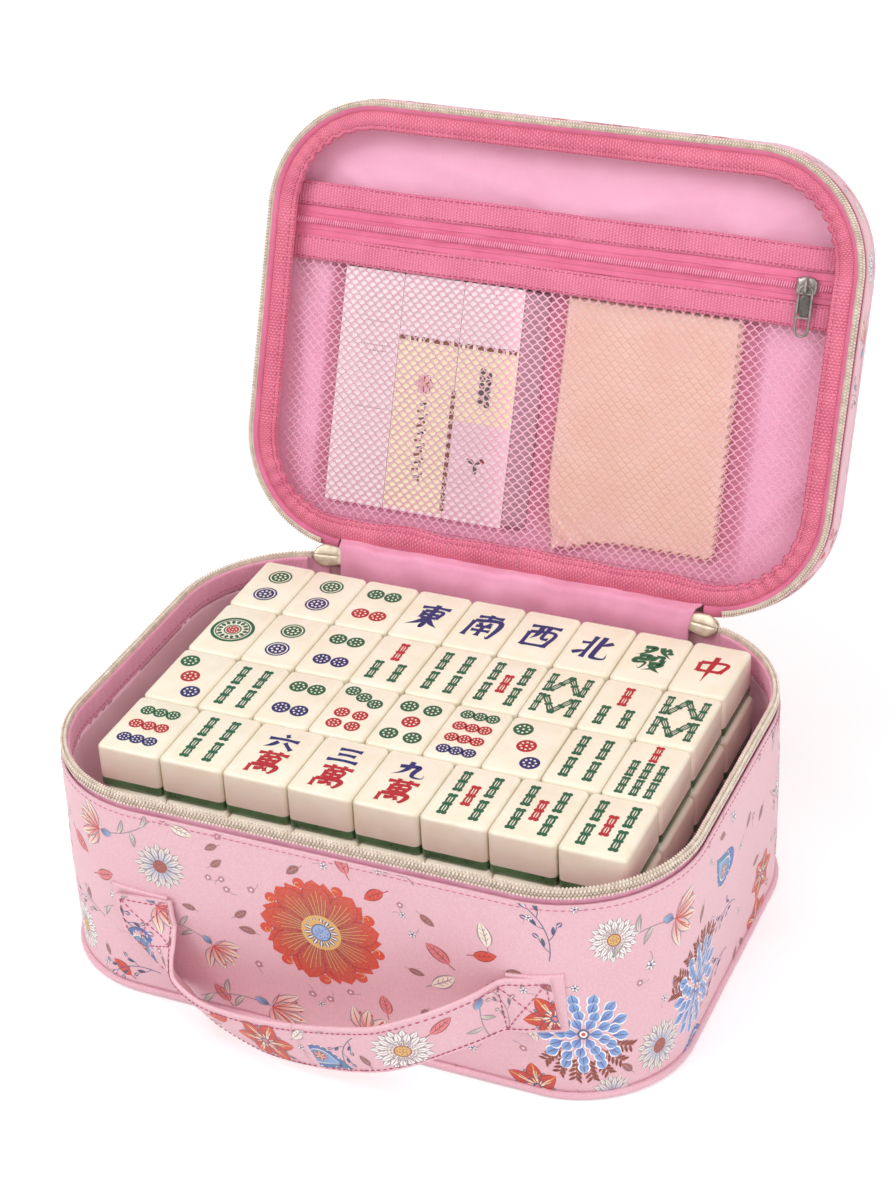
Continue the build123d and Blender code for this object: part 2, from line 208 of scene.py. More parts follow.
class Finish:
    """A material whose nodes are added one by one, around one Principled surface. It knows the CAD
    material slot that it stands for."""

    def __init__(self, name, slot, **surface):
        self.slot = slot
        self.material = bpy.data.materials.new(name)
        self.material.use_nodes = True
        self.tree = self.material.node_tree
        self.surface = self.tree.nodes["Principled BSDF"]
        for socket, value in surface.items():
            self.set(socket.replace("_", " "), value)

    def set(self, socket, value):
        """Gives one socket of the surface a value or a link."""
        if isinstance(value, Socket):
            self.tree.links.new(value.link, self.surface.inputs[socket])
        else:
            self.surface.inputs[socket].default_value = (*value, 1) if isinstance(value, tuple) else value

    def node(self, kind, settings, sockets, output=0):
        """Adds a node: first its settings, then the value or link of each socket."""
        node = self.tree.nodes.new(kind)
        for key, value in settings.items():
            setattr(node, key, value)
        for key, value in sockets.items():
            if isinstance(value, Socket):
                self.tree.links.new(value.link, node.inputs[key])
            else:
                node.inputs[key].default_value = (*value, 1) if isinstance(value, tuple) else value
        return Socket(self, node.outputs[output])

    def place(self):
        """Where a point of the piece is, in metres."""
        return self.node("ShaderNodeTexCoord", {}, {}, "Object")

    def spread(self):
        """Where a point is on the flat cloth, in metres."""
        return self.node("ShaderNodeUVMap", {"uv_map": "spread"}, {})

    def tint(self):
        """The colour that was given to each face of the mesh."""
        return self.node("ShaderNodeAttribute", {"attribute_name": "tint"}, {}, "Color")

    def noise(self, where, size, detail=3.0, roughness=0.55):
        """Cloudy variation with features of about the given size."""
        sockets = {"Vector": where, "Scale": 1 / size, "Detail": detail, "Roughness": roughness}
        return self.node("ShaderNodeTexNoise", {}, sockets, "Fac")

    def cells(self, where, size):
        """Distance to scattered points about one size apart."""
        return self.node("ShaderNodeTexVoronoi", {}, {"Vector": where, "Scale": 1 / size}, "Distance")

    def mix(self, share, first, second):
        """One colour turning into another."""
        return self.node("ShaderNodeMix", {"data_type": "RGBA"}, {0: share, 6: first, 7: second}, 2)

    def bump(self, height, depth, strength=1.0):
        """Relief whose height runs from 0 to 1 over the given depth."""
        relief = self.node("ShaderNodeBump", {}, {"Height": height, "Distance": depth, "Strength": strength})
        self.set("Normal", relief)

    def finished(self, colour, roughness, height, depth, strength):
        """The last step of a material: its colour, its roughness and its relief."""
        self.set("Base Color", colour)
        self.set("Roughness", roughness)
        self.bump(height, depth, strength)
        return self


def srgb(red, green, blue):
    """A colour as it is named on screen, 0 to 255, turned into light."""
    share = np.array([red, green, blue]) / 255
    return tuple(np.where(share < 0.04045, share / 12.92, ((share + 0.055) / 1.055) ** 2.4).tolist())


def leatherette(name, colour=None, slot="printed_leatherette"):
    """Coated cloth with a pebbled grain and a faint thread showing through; a satin sheen. The raised ridges
    of the grain are painted paler, a painted highlight, over worn clouds of tone. Without a colour it takes
    the ink's from the mesh, and both the worn clouds and the painted highlight are thinner."""
    finish = Finish(name, slot, Roughness=0.46, Specular_IOR_Level=0.42, Coat_Weight=0.06, Coat_Roughness=0.3)
    where = finish.place()
    grain = finish.cells(where, 0.00085)
    thread = finish.noise(where, 0.0004, 2.0)
    cloud = finish.noise(where, 0.03, 2.0)
    wear_and_highlight_veil = 0.2 if colour else 0.07
    worn = finish.mix(cloud.between(0.35, 0.75) * wear_and_highlight_veil, colour or finish.tint(), srgb(222, 164, 182))
    # Painted highlight: the raised grain ridges are mixed towards a pale pink.
    lit = finish.mix(grain.between(0.25, 0.7) * wear_and_highlight_veil, worn, srgb(252, 226, 232))
    return finish.finished(lit, thread * 0.16 + 0.38, grain * 0.7 + thread * 0.4, 0.00009, 0.55)


printed_pink = leatherette("printed_leatherette", srgb(230, 181, 191))
printed_motifs = leatherette("leatherette_print")
WALL_FOOT, HEM_TURN = 0.0034, 0.0008

t_wall = np.linspace(0, ROUND, 421)[:-1]
z_wall = np.append(np.linspace(WALL_FOOT, WALL_TOP - HEM_TURN, 46), [WALL_TOP - HEM_TURN / 4, WALL_TOP])
hem = np.where(z_wall == WALL_TOP, -HEM_TURN, 0)
wall_points = base_wall(t_wall[:, None], z_wall, hem)
wall_quads = quads_of(420, 48, close_rows=True)
mesh_piece("base_wall_skin", wall_points, wall_quads, printed_pink, "base", "base_side_wall", SKIN)


# ---------------------------------------------------------------- bottom panel and its corded seam
# The bottom is a stiffened sheet of the same leatherette, let in at the foot of the wall. The cord
# in the seam is a strip of it rolled round a string, which gives the thin bead at the bottom edge.


CORD = 0.0017


def cord_seam(name, line, plane, height, body, node):
    """A round cord along a case line at one height: a ring of twelve points carried along it, with
    a slight thick and thin along its length where the stitches pull it."""
    t = np.linspace(0, ROUND, 481)[:-1, None]
    angle = np.linspace(0, 2 * pi, 12, endpoint=False)
    swell = CORD * (1 + 0.035 * np.sin(t * 2 * pi * 0.37 / 0.0031) + 0.02 * np.sin(t * 131))
    x, y = inset_line(t, line, -swell * np.cos(angle))
    points = plane(x, y, height + swell * np.sin(angle))
    quads = quads_of(480, 12, close_rows=True, close_columns=True)
    mesh_piece(name, points, quads, piping_pink, body, node, spread=grid(t, angle * CORD))


def in_case(x, y, z):
    """The base's own coordinates."""
    return grid(x, y, z)


DRAWN_IN = 0.002


def domed_panel(name, shape, plane, height, rise, finish, body, rings=26, wave=0.0, **made):
    """A panel with the case's outline: rings of the outline drawn in almost to the middle and closed
    there, raised by one minus the fourth power of the share from it, with long soft waves."""
    t = np.linspace(0, ROUND, 241)[:-1]
    flat, _ = case_line(t, shape)
    share = np.sin(np.linspace(0, pi / 2, rings))[::-1] * (1 - DRAWN_IN) + DRAWN_IN
    spot = flat[:, None, :] * share[None, :, None]
    x, y = spot[..., 0], spot[..., 1]
    lumps = np.sin(31 * x + 2) * np.sin(47 * y) + 0.6 * np.sin(83 * x - 59 * y)
    points = plane(x, y, height + rise * (1 - share**4) + wave * lumps * (1 - share**6))
    middle = rings - 1 + rings * np.arange(240)
    cap = np.stack([middle[:119], middle[1:120], middle[238:119:-1], middle[239:120:-1]], -1)
    quads = np.concatenate([quads_of(240, rings, close_rows=True), cap])
    quads = quads[:, ::-1] if rise < 0 else quads
    mesh_piece(name, points, quads, finish, body, spread=spot, **made)


piping_pink = leatherette("piping_leatherette", srgb(232, 178, 193), "piping")
cord_seam("base_cord", (0.3034, 0.2219, 0.0525), in_case, 0.0021, "base", "base_piping")
domed_panel(
    "base_bottom_skin", (0.3010, 0.2195, 0.051), in_case, 0.0014, -0.0012, printed_pink, "base",
    node="base_bottom_panel", thick=SKIN,
)


# ---------------------------------------------------------------- boards and foam inside the base
# Grey board stiffens the walls and floor, and a foam pad lies under the lining so that the tiles do
# not knock. They are slipped in between the skin and the lining before the rim is sewn.


def wall_layer(name, low, high, lift, thick, finish, node, steps=12, unevenness=0.0):
    """A layer of the wall: the wall's outer face moved in by the lift, with its own small waves."""
    t, z = np.linspace(0, ROUND, 361)[:-1, None], np.linspace(low, high, steps)
    ripple = np.sin(57 * t + 80 * z) + np.sin(121 * t - 140 * z + 1)
    points = base_wall(t, z, -lift + unevenness * ripple)
    quads = quads_of(360, steps, close_rows=True)
    mesh_piece(name, points, quads, finish, "base", node, thick, spread=grid(t, z))


def pulp(name, slot, colour, grain):
    """Board or foam: a matt surface with clouds and small pits of one grain size."""
    finish = Finish(name, slot, Roughness=0.9, Specular_IOR_Level=0.2)
    where = finish.place()
    pits = finish.cells(where, grain)
    cloud = finish.noise(where, 0.02)
    shade = tuple(0.78 * channel for channel in colour)
    shade = finish.mix(cloud.between(0.35, 0.65), shade, colour)
    return finish.finished(shade, cloud * 0.15 + 0.8, pits, 0.0002, 0.5)


grey_board = pulp("grey_board", "stiffener_board", srgb(176, 168, 158), 0.0006)
white_foam = pulp("white_foam", "foam", srgb(240, 232, 226), 0.0012)
BEHIND_SKIN, WALL_BOARD, FLOOR_BOARD, PAD = 0.0015, 0.0021, 0.0026, 0.0200
FLOOR_TOP, PAD_TOP, LINING_TOP, FLAT_RISE = 0.0043, 0.0249, 0.0257, 0.0001

wall_layer("base_wall_stiffener", 0.0046, 0.0978, BEHIND_SKIN, WALL_BOARD, grey_board, "base_wall_board")
domed_panel(
    "base_floor_stiffener", (0.2990, 0.2175, 0.050), in_case, FLOOR_TOP, FLAT_RISE, grey_board, "base",
    rings=6, node="base_floor_board", thick=FLOOR_BOARD,
)
domed_panel(
    "base_pad", (0.2920, 0.2105, 0.048), in_case, PAD_TOP, FLAT_RISE, white_foam, "base",
    rings=8, node="base_floor_pad", thick=PAD,
)


# ---------------------------------------------------------------- lining of the base
# Thin pink cloth lines the base: one sheet for the floor and one long piece for the walls, joined
# along the floor edge. It is loose enough to show soft ripples above the tiles.


def lining_cloth(name, light, deep, thread=0.00042, painted_shade_strips=(), contrast=0.3, slot="lining"):
    """A fine plain weave: two sets of threads crossing, read on the flat cloth, with slow cloudy changes of
    tone. Painted shade strips, each a middle and a half width, darken it below the pocket band, standing for
    the shade beside the things held in the pocket."""
    finish = Finish(
        name, slot, Roughness=0.55, Specular_IOR_Level=0.4, Sheen_Weight=0.25, Sheen_Roughness=0.45
    )
    flat = finish.spread()
    warp, weft = flat.part(0).wave(2 * thread), flat.part(1).wave(2 * thread)
    over = flat.crossed(thread, thread)
    cloud = finish.noise(finish.place(), 0.025)
    slub = finish.noise(flat, 0.0012, 2.0)
    tone = finish.mix(cloud.between(0.3, 0.7), deep, light)
    below_band = flat.part(1).between(-0.036, -0.028) * (1 - flat.part(1).between(0.078, 0.100))
    # Painted shade: a deep rose mixed in across each strip, from just below the pocket band to above the
    # net's foot.
    for middle, half in painted_shade_strips:
        off = (flat.part(0) - middle) * (1 / half)
        tone = finish.mix((1 - off * off).between(0, 0.8) * below_band * 0.9, tone, srgb(186, 76, 112))
    shade = finish.mix((over * 0.6 + slub * 0.4) * contrast, tone, srgb(252, 208, 228))
    return finish.finished(shade, over * 0.12 + 0.72, over * 0.6 + (warp + weft) * 0.2, 0.00012, 0.6)


pink_lining = lining_cloth("pink_lining", srgb(246, 178, 207), srgb(238, 162, 194))
# Painted light: the walls' lining is a lighter copy of the lining, lifted to stand for light that reaches the
# shaded gap between the tiles and the walls.
base_lining_painted_light = lining_cloth("base_lining_painted_light", srgb(255, 206, 224), srgb(250, 192, 212))
LINING, BEHIND_BOARD = 0.0005, 0.0038
domed_panel(
    "base_floor_cloth", (0.2915, 0.2100, 0.048), in_case, LINING_TOP, FLAT_RISE, pink_lining, "base",
    rings=14, wave=0.00008, node="base_floor_lining", thick=LINING,
)
wall_layer(
    "base_wall_cloth", 0.0259, 0.0990, BEHIND_BOARD, 0.0006, base_lining_painted_light, "base_wall_lining",
    steps=26, unevenness=0.00018,
)


# ---------------------------------------------------------------- rim facing
# A band of rose webbing, ribbed across, covers the raw edges inside the rim. It is sewn through
# the zip tape with one row of stitches, and its ends stop beside the hinge.


def webbing(name, light, deep, rib, slot="rose_webbing"):
    """Ribbed webbing: fat ribs across the band, each crossed by fine threads, read on the flat cloth. The
    raised ribs and threads are painted paler, a painted highlight.
    """
    finish = Finish(name, slot, Roughness=0.7, Specular_IOR_Level=0.3, Sheen_Weight=0.3, Sheen_Roughness=0.4)
    flat = finish.spread()
    ribs = flat.part(0).wave(rib)
    threads = flat.crossed(rib, 0.0007)
    fluff = finish.noise(flat, 0.0009, 3.0, 0.7)
    cloud = finish.noise(finish.place(), 0.018)
    tone = finish.mix(cloud.between(0.3, 0.7), deep, light)
    # Painted highlight: the raised ribs and threads are mixed towards a pale rose.
    raised = finish.mix((ribs * 0.5 + threads * 0.5) ** 3 * 0.75, tone, srgb(252, 186, 208))
    shade = finish.mix(fluff.between(0.45, 0.75) * 0.5, raised, tuple(0.55 * channel for channel in deep))
    relief = ribs * 0.55 + threads * 0.35 + fluff * 0.2
    return finish.finished(shade, threads * 0.15 + 0.62, relief, 0.00026, 0.8)


rose_webbing = webbing("rose_webbing", srgb(228, 113, 140), srgb(206, 85, 115), 0.0013)
rim_webbing = webbing("rim_webbing", srgb(246, 172, 200), srgb(238, 156, 188), 0.0009, "lining")
ZIP_END, COIL_END, TAPE_END = 0.1114, 0.1094, 0.1003


def rim_band(name, low, high, inset, finish, ends=ZIP_END, puff=0.0, **made):
    """A band round the rim of the base, open at the back between the zip ends. Its face stands at the
    inset, puffed out by a half sine over its height, with small puckers along its length."""
    t, share = np.linspace(ends, ROUND - ends, 700)[:, None], np.linspace(0, 1, 9)
    pucker = 0.00008 * np.sin(t * 2 * pi / 0.0063) + 0.00006 * np.sin(t * 2 * pi / 0.0171)
    x, y = inset_line(t, CASE, inset - puff * np.sin(pi * share) - pucker)
    up = low + (high - low) * share
    mesh_piece(name, grid(x, y, up), quads_of(700, 9), finish, "base", spread=grid(t, up), **made)


rim_band(
    "base_rim_webbing", 0.0982, 0.1108, 0.0034, rim_webbing, puff=0.0001, node="base_rim_facing", thick=0.0011
)


# ---------------------------------------------------------------- zip tape and teeth of the base
# The zip is a champagne nylon coil: a slanted loop for every tooth, and under it the small pads of
# the thread that sews the coil to its tape. The pink tape shows as a thin line over the skin.


def repeat(form, faces, spots, along, across, out):
    """Copies of a small form: its point (x, y, z) goes to the spot plus x along, y across and z out."""
    axes = [np.broadcast_to(axis, spots.shape)[:, None, :] for axis in (along, across, out)]
    points = spots[:, None, :] + sum(form[None, :, k, None] * axes[k] for k in range(3))
    quads = faces[None] + (np.arange(len(spots)) * len(form))[:, None, None]
    return points.reshape(-1, 3), quads.reshape(-1, 4)


def joined(blocks):
    """Several lots of points and faces as one lot."""
    starts = np.cumsum([0] + [len(points) for points, _ in blocks[:-1]])
    return np.concatenate([b[0] for b in blocks]), np.concatenate([b[1] + s for b, s in zip(blocks, starts)])


def bead(long, wide, high, around=6, rings=4):
    """A rounded grain: an ellipsoid from rings that shrink by the sine of the way from pole to pole,
    with a small flat at each pole that closes it."""
    rise = np.linspace(0.12 * pi, 0.88 * pi, rings)
    turn = np.linspace(0, 2 * pi, around, endpoint=False)
    x = np.broadcast_to(-np.cos(rise)[:, None] * long / 2, (rings, around))
    y = np.sin(rise)[:, None] * np.cos(turn) * wide / 2
    z = -np.sin(rise)[:, None] * np.sin(turn) * high / 2
    faces = quads_of(rings, around, close_columns=True)
    half = np.arange(around // 2 - 1)
    pole = np.stack([half, half + 1, around - 2 - half, around - 1 - half], -1)
    far_pole = pole[:, ::-1] + (rings - 1) * around
    return np.stack([x, y, z], -1).reshape(-1, 3), np.concatenate([faces, pole, far_pole])


def unit(vectors):
    """The same directions with length one."""
    return vectors / np.linalg.norm(vectors, axis=-1, keepdims=True)


def line_frames(t, line, plane, height, inset):
    """Spots along a case line at one height and inset, with the directions along, up and out."""
    flat, normal = case_line(t, line)
    near, step = flat - normal * inset, 0.001
    far = near + normal * step
    spots = plane(near[:, 0], near[:, 1], height)
    up = unit(plane(near[:, 0], near[:, 1], height + step) - spots)
    out = unit(plane(far[:, 0], far[:, 1], height) - spots)
    return spots, np.cross(up, out), up, out


def knit(name, light, deep, slot="zip_tape"):
    """Zip tape: a close knit with ridges along the tape, read on the flat cloth."""
    finish = Finish(name, slot, Roughness=0.66, Specular_IOR_Level=0.3, Sheen_Weight=0.2, Sheen_Roughness=0.4)
    flat = finish.spread()
    ridges = flat.part(1).wave(0.0008)
    loops = flat.part(0).wave(0.0006)
    cloud = finish.noise(finish.place(), 0.02)
    tone = finish.mix(cloud.between(0.3, 0.7), deep, light)
    shade = finish.mix(ridges * 0.3, tone, light)
    return finish.finished(shade, loops * 0.12 + 0.6, ridges * 0.7 + loops * 0.3, 0.00014, 0.6)


def nylon(name, colour, shade):
    """Moulded nylon with a pearly sheen, a little darker in patches."""
    finish = Finish(
        name, "champagne_coil", Roughness=0.3, Specular_IOR_Level=0.55, Coat_Weight=0.35, Coat_Roughness=0.18
    )
    where = finish.place()
    cloud = finish.noise(where, 0.004)
    shade = finish.mix(cloud.between(0.35, 0.7), shade, colour)
    return finish.finished(shade, cloud * 0.25 + 0.22, finish.noise(where, 0.0007), 0.00006, 0.4)


champagne_nylon = nylon("champagne_nylon", srgb(242, 229, 214), srgb(218, 201, 184))
# Painted light: the base's half of the zip tape is a lighter pink than the lid's, lifted so that it does not
# go dark in the shade under the teeth.
rim_tape_painted_light = knit("rim_tape_painted_light", srgb(244, 184, 206), srgb(230, 158, 186))


def tooth_rows(name, line, plane, rows, body, node, pitch=0.0017, ends=COIL_END):
    """Rows of moulded loops along one side of the zip, base or lid. Each row has its own height and
    inset, the size of its grains, their slant along the tape and the angle they lean over."""
    t = np.arange(ends, ROUND - ends, pitch)
    blocks = []
    for number, (height, inset, size, slant, lean) in enumerate(rows):
        spots, along, up, out = line_frames(t + pitch / 2 * (number % 2), line, plane, height, inset)
        face = unit(out * cos(lean) - up * sin(lean))
        rise = unit(np.cross(face, along) + slant * along)
        blocks.append(repeat(*bead(*size), spots, rise, np.cross(face, rise), face))
    mesh_piece(name, *joined(blocks), champagne_nylon, body, node)


rim_band("base_tape", 0.0985, 0.1110, 0.0020, rim_tape_painted_light, TAPE_END, node="base_zip_tape", thick=0.0008)


def run_of(line):
    """The distance along a line of points, from its first."""
    return np.concatenate([[0], np.cumsum(np.linalg.norm(np.diff(line, axis=0), axis=1))])


def profile_band(name, line, plane, profile, finish, body, ends=0.0, wrinkle=0.0, puff=None, **made):
    """A band whose section is a list of (inset, height) spots, carried along a case line. Wrinkles are
    slanting waves, strongest in the middle of the section; a puff draws part of the run further in."""
    t, section = np.linspace(ends, ROUND - ends, 900)[:, None], np.asarray(profile, float)
    share = np.linspace(0, 1, len(section))
    slant = np.sin(410 * t + 3 * share) * np.sin(71 * t + 1)
    crease = wrinkle * (slant + 0.8 * np.sin(163 * t - 4 * share + 2)) * np.sin(pi * share)
    more = 0 if puff is None else puff(t) * np.sin(pi * share)
    x, y = inset_line(t, line, section[:, 0] + crease * 0.4 + more * 0.6)
    points = plane(x, y, section[:, 1] - crease - more)
    spread = grid(t, run_of(section))
    mesh_piece(name, points, quads_of(900, len(section)), finish, body, spread=spread, **made)


coil_shade = nylon("coil_shade", srgb(218, 200, 182), srgb(188, 168, 150))
bed_line = [
    (0.0018, 0.1086), (0.0015, 0.1105), (0.0016, 0.1124), (0.0022, 0.1130),
    (0.0031, 0.1128), (0.0036, 0.1112), (0.0036, 0.1098),
]
profile_band("base_coil_bed", CASE, in_case, bed_line, coil_shade, "base", ends=COIL_END)
LOOP, PAD_GRAIN = (0.0018, 0.0013, 0.0014), (0.0013, 0.0010, 0.0011)
base_rows = [
    (0.1122, 0.0010, LOOP, 0.3, 0.0),
    (0.1106, 0.0012, PAD_GRAIN, -0.4, 0.0),
    (0.1091, 0.0010, (0.0017, 0.0013, 0.0014), 0.3, 0.0),
    (0.1129, 0.0027, (0.0017, 0.0012, 0.0012), 0.3, -1.3),
]
tooth_rows("base_coil", CASE, in_case, base_rows, "base", "base_zip_coil")


# ---------------------------------------------------------------- stitches of the base
# Pink thread, about three millimetres to a stitch: one row through the hem of the skin under the
# zip, and one through the facing inside the rim. Each stitch sinks into the cloth at both ends.


def thread_finish(name, colour, shade):
    """Twisted thread: fine slanting plies over a matt sheen."""
    finish = Finish(
        name, "lining", Roughness=0.6, Specular_IOR_Level=0.35, Sheen_Weight=0.2, Sheen_Roughness=0.4
    )
    where = finish.place()
    plies = (where.part(0) + where.part(1) + where.part(2)).wave(0.0004)
    return finish.finished(finish.mix(plies, shade, colour), plies * 0.2 + 0.5, plies, 0.00005, 0.5)


pink_thread = thread_finish("pink_thread", srgb(226, 128, 160), srgb(196, 92, 130))
deep_thread = thread_finish("deep_thread", srgb(206, 96, 130), srgb(168, 66, 102))


SMALL_STITCH, THICK_STITCH = (0.0023, 0.00055, 0.00045), (0.0023, 0.0007, 0.0006)


def stitches(name, frames, body, slot="lining", size=SMALL_STITCH, thread=pink_thread):
    """A row of sewn stitches: one flattened grain at every spot of the frames, which are the spots
    and the directions along, across and out of the cloth."""
    mesh_piece(name, *repeat(*bead(*size), *frames), thread, body, slot=slot)


t_stitch = np.arange(ZIP_END, ROUND - ZIP_END, 0.0032)
hem_frames = line_frames(t_stitch, CASE, in_case, 0.1034, -0.0001)
stitches("base_hem_stitches", hem_frames, "base", "printed_leatherette")
stitches("base_facing_stitches", line_frames(t_stitch, CASE, in_case, 0.1012, 0.0046), "base")


# ---------------------------------------------------------------- printed flowers of the leatherette
# The leatherette is printed with scattered flowers in the manner of old chintz: large orange blooms,
# blue feathered ones, cream daisies, sprigs and leaves. Ink lies on the skin as a film, so it is
# laid out flat as thin coloured shapes and then carried onto each surface that the cloth covers.

ORANGE, BRICK, RUST = srgb(216, 66, 28), srgb(170, 40, 30), srgb(158, 80, 62)
GOLD, CREAM, WHITE = srgb(222, 178, 100), srgb(248, 236, 214), srgb(252, 247, 245)
BLUE, PALE_BLUE, SLATE = srgb(48, 98, 186), srgb(140, 180, 228), srgb(72, 90, 128)
TEAL, GREY, ROSE, SAGE = srgb(66, 128, 160), srgb(158, 140, 152), srgb(226, 120, 128), srgb(136, 148, 128)


def polar(reach, angle):
    """The flat point at a reach and angle."""
    return reach * np.array([cos(angle), sin(angle)])


def rotated(flat, turn, place=(0, 0)):
    """Flat points turned about zero and then moved to a place."""
    x, y = flat[..., 0], flat[..., 1]
    return grid(x * cos(turn) - y * sin(turn) + place[0], x * sin(turn) + y * cos(turn) + place[1])


def around(count, first=0.0):
    """Angles spread evenly round the circle, from the first on."""
    return first + np.arange(count) * 2 * pi / count


class Print:
    """Flat coloured shapes drawn over one another: a higher level lies on top."""

    def __init__(self):
        self.points, self.quads, self.colours, self.levels, self.total = [], [], [], [], 0

    def add(self, points, quads, colours, levels):
        """Takes in points and faces; each face has its colour, each point its level over the cloth."""
        self.points.append(points)
        self.quads.append(quads + self.total)
        self.colours.append(np.broadcast_to(colours, (len(quads), 3)))
        self.levels.append(np.broadcast_to(levels, len(points)))
        self.total += len(points)

    def ribbon(self, line, width, colour, level):
        """A line of ink: half the width to each side of the line, across its direction."""
        line = np.asarray(line, float)
        along = np.gradient(line, axis=0)
        half = np.broadcast_to(width, len(line))[:, None] / 2
        across = unit(np.stack([-along[:, 1], along[:, 0]], -1)) * half
        points = np.stack([line - across, line + across], 1)
        self.add(points.reshape(-1, 2), quads_of(len(line), 2), colour, level)

    def petal(
        self, root, angle, length, width, fill, tip, edge, level, vein=None, bend=0.0, full=1.0, steps=9
    ):
        """A petal or leaf: a centre line bent by the square of the way along it, and a half width that
        follows the sine of the way along it, to a power; outline, body and vein are strips of it."""
        s = np.linspace(0.0, 1.0, steps)
        half = width / 2 * np.sin(pi * s**full) ** 0.75 + 0.00008
        inner = max(0.0, 1 - 0.0007 / max(width / 2, 0.0007))
        across = np.array([-1, -inner, -0.09, 0.09, inner, 1])
        y = bend * length * (s**2)[:, None] + half[:, None] * across
        turned = rotated(grid((s * length)[:, None], y), angle, root)
        body = np.array(fill) + (np.array(tip) - np.array(fill)) * ((s[1:] + s[:-1]) / 2)[:, None]
        line = np.broadcast_to(edge, body.shape)
        middle = body if vein is None else np.broadcast_to(vein, body.shape)
        colours = np.stack([line, body, middle, body, line], 1).reshape(-1, 3)
        self.add(turned.reshape(-1, 2), quads_of(steps, 6), colours, level)

    def fan(self, angles, length, width, colours, level, reach=0.0, middle=(0, 0), step=0, **shape):
        """Petals at some angles, each from the reach outwards. A step lays every other one higher."""
        for k, angle in enumerate(angles):
            root = polar(reach, angle) + np.asarray(middle)
            self.petal(root, angle, length, width, *colours, level + k % 2 * step, **shape)

    def curl(self, start, angle, length, bend, width, colour, level, steps=14):
        """A stem or hair: its direction turns evenly by the bend over its length. Returns its line."""
        heading = angle + bend * np.linspace(0, 1, steps)
        pace = np.stack([np.cos(heading), np.sin(heading)], -1) * length / (steps - 1)
        line = np.asarray(start) + np.concatenate([[(0, 0)], np.cumsum(pace[:-1], 0)])
        self.ribbon(line, width, colour, level)
        return line

    def disc(self, centre, radius, colour, level, hole=0.0, points=16, scallop=0.0, lobes=8):
        """A disc or ring, its edge scalloped by a sine of the angle where it is asked for."""
        angle = np.linspace(0, 2 * pi, points, endpoint=False)
        outer = radius * (1 + scallop * np.sin(lobes * angle))
        both = np.stack([np.full(points, hole), outer])
        ring = grid(both * np.cos(angle), both * np.sin(angle)) + np.asarray(centre)
        self.add(ring.reshape(-1, 2), quads_of(2, points, close_columns=True), colour, level)

    def stamp(self, other, place, turn=0.0, size=1.0):
        """A copy of another print at a place, turned and sized."""
        points, levels = np.concatenate(other.points) * size, np.concatenate(other.levels)
        quads, colours = np.concatenate(other.quads), np.concatenate(other.colours)
        self.add(rotated(points, turn, place), quads, colours, levels)

    def seeds(self, count, spacing, radius, colours, level):
        """Seeds on a sunflower's spiral: the reach grows with the square root of the number."""
        for k in range(count):
            spot = polar(spacing * np.sqrt(k), k * 2.4)
            self.disc(spot, radius, colours[k % len(colours)], level, points=6)


def large_bloom():
    """The large bloom: nine broad petals with a smaller lobe curling off each, gold rays, a white
    ruff and a blue eye of seeds. About sixty millimetres across."""
    art = Print()
    for angle in around(9):
        root = polar(0.006, angle)
        art.petal(root, angle + 0.32, 0.0235, 0.0105, BRICK, ORANGE, BRICK, 0, bend=0.42, full=1.35)
        art.petal(root, angle, 0.0245, 0.0150, RUST, ORANGE, BRICK, 1, bend=0.10, full=1.25, steps=12)
        tip = polar(0.0285, angle + 0.34)
        art.disc(tip, 0.0030, ORANGE, 2)
        art.curl(tip, angle + 1.2, 0.006, 4.4, 0.0004, GOLD, 3)
        for ray in (-0.22, -0.11, 0, 0.11, 0.22):
            length = 0.0155 - 0.018 * abs(ray)
            art.curl(polar(0.009, angle + ray), angle + ray, length, 0.16, 0.00028, GOLD, 4)
    art.disc((0, 0), 0.0100, GOLD, 5, points=36, scallop=0.05, lobes=18)
    art.fan(around(14), 0.0046, 0.0021, (WHITE, WHITE, SLATE), 6, 0.0042, full=1.3, steps=6)
    art.disc((0, 0), 0.0050, SLATE, 7, points=24)
    art.disc((0, 0), 0.0044, PALE_BLUE, 8, points=24)
    art.seeds(19, 0.0009, 0.00042, (BLUE, BRICK, GOLD), 9)
    return art


def star_bloom():
    """The middle-sized bloom: six pointed petals in brick and orange with pale rays and dark anthers."""
    art = Print()
    art.fan(around(6, 0.2 + pi / 6), 0.0105, 0.0050, (SAGE, SLATE, GREY), 0, vein=CREAM, full=0.9)
    for k, angle in enumerate(around(6, 0.2)):
        colours, level = (BRICK, ORANGE, BRICK), 1 + k % 2
        art.petal((0, 0), angle, 0.0140, 0.0086, *colours, level, vein=GOLD, full=0.85, bend=0.06)
        for side in (-0.22, 0.22):
            art.curl(polar(0.003, angle), angle + side, 0.0062, -side, 0.0003, CREAM, 3)
    for angle in around(12):
        art.curl((0, 0), angle, 0.0050, 0.2, 0.0005, CREAM, 4, steps=5)
        art.disc(polar(0.0050, angle), 0.00055, SLATE, 5, points=8)
    art.disc((0, 0), 0.0022, SLATE, 6)
    art.disc((0, 0), 0.0012, ROSE, 7)
    return art


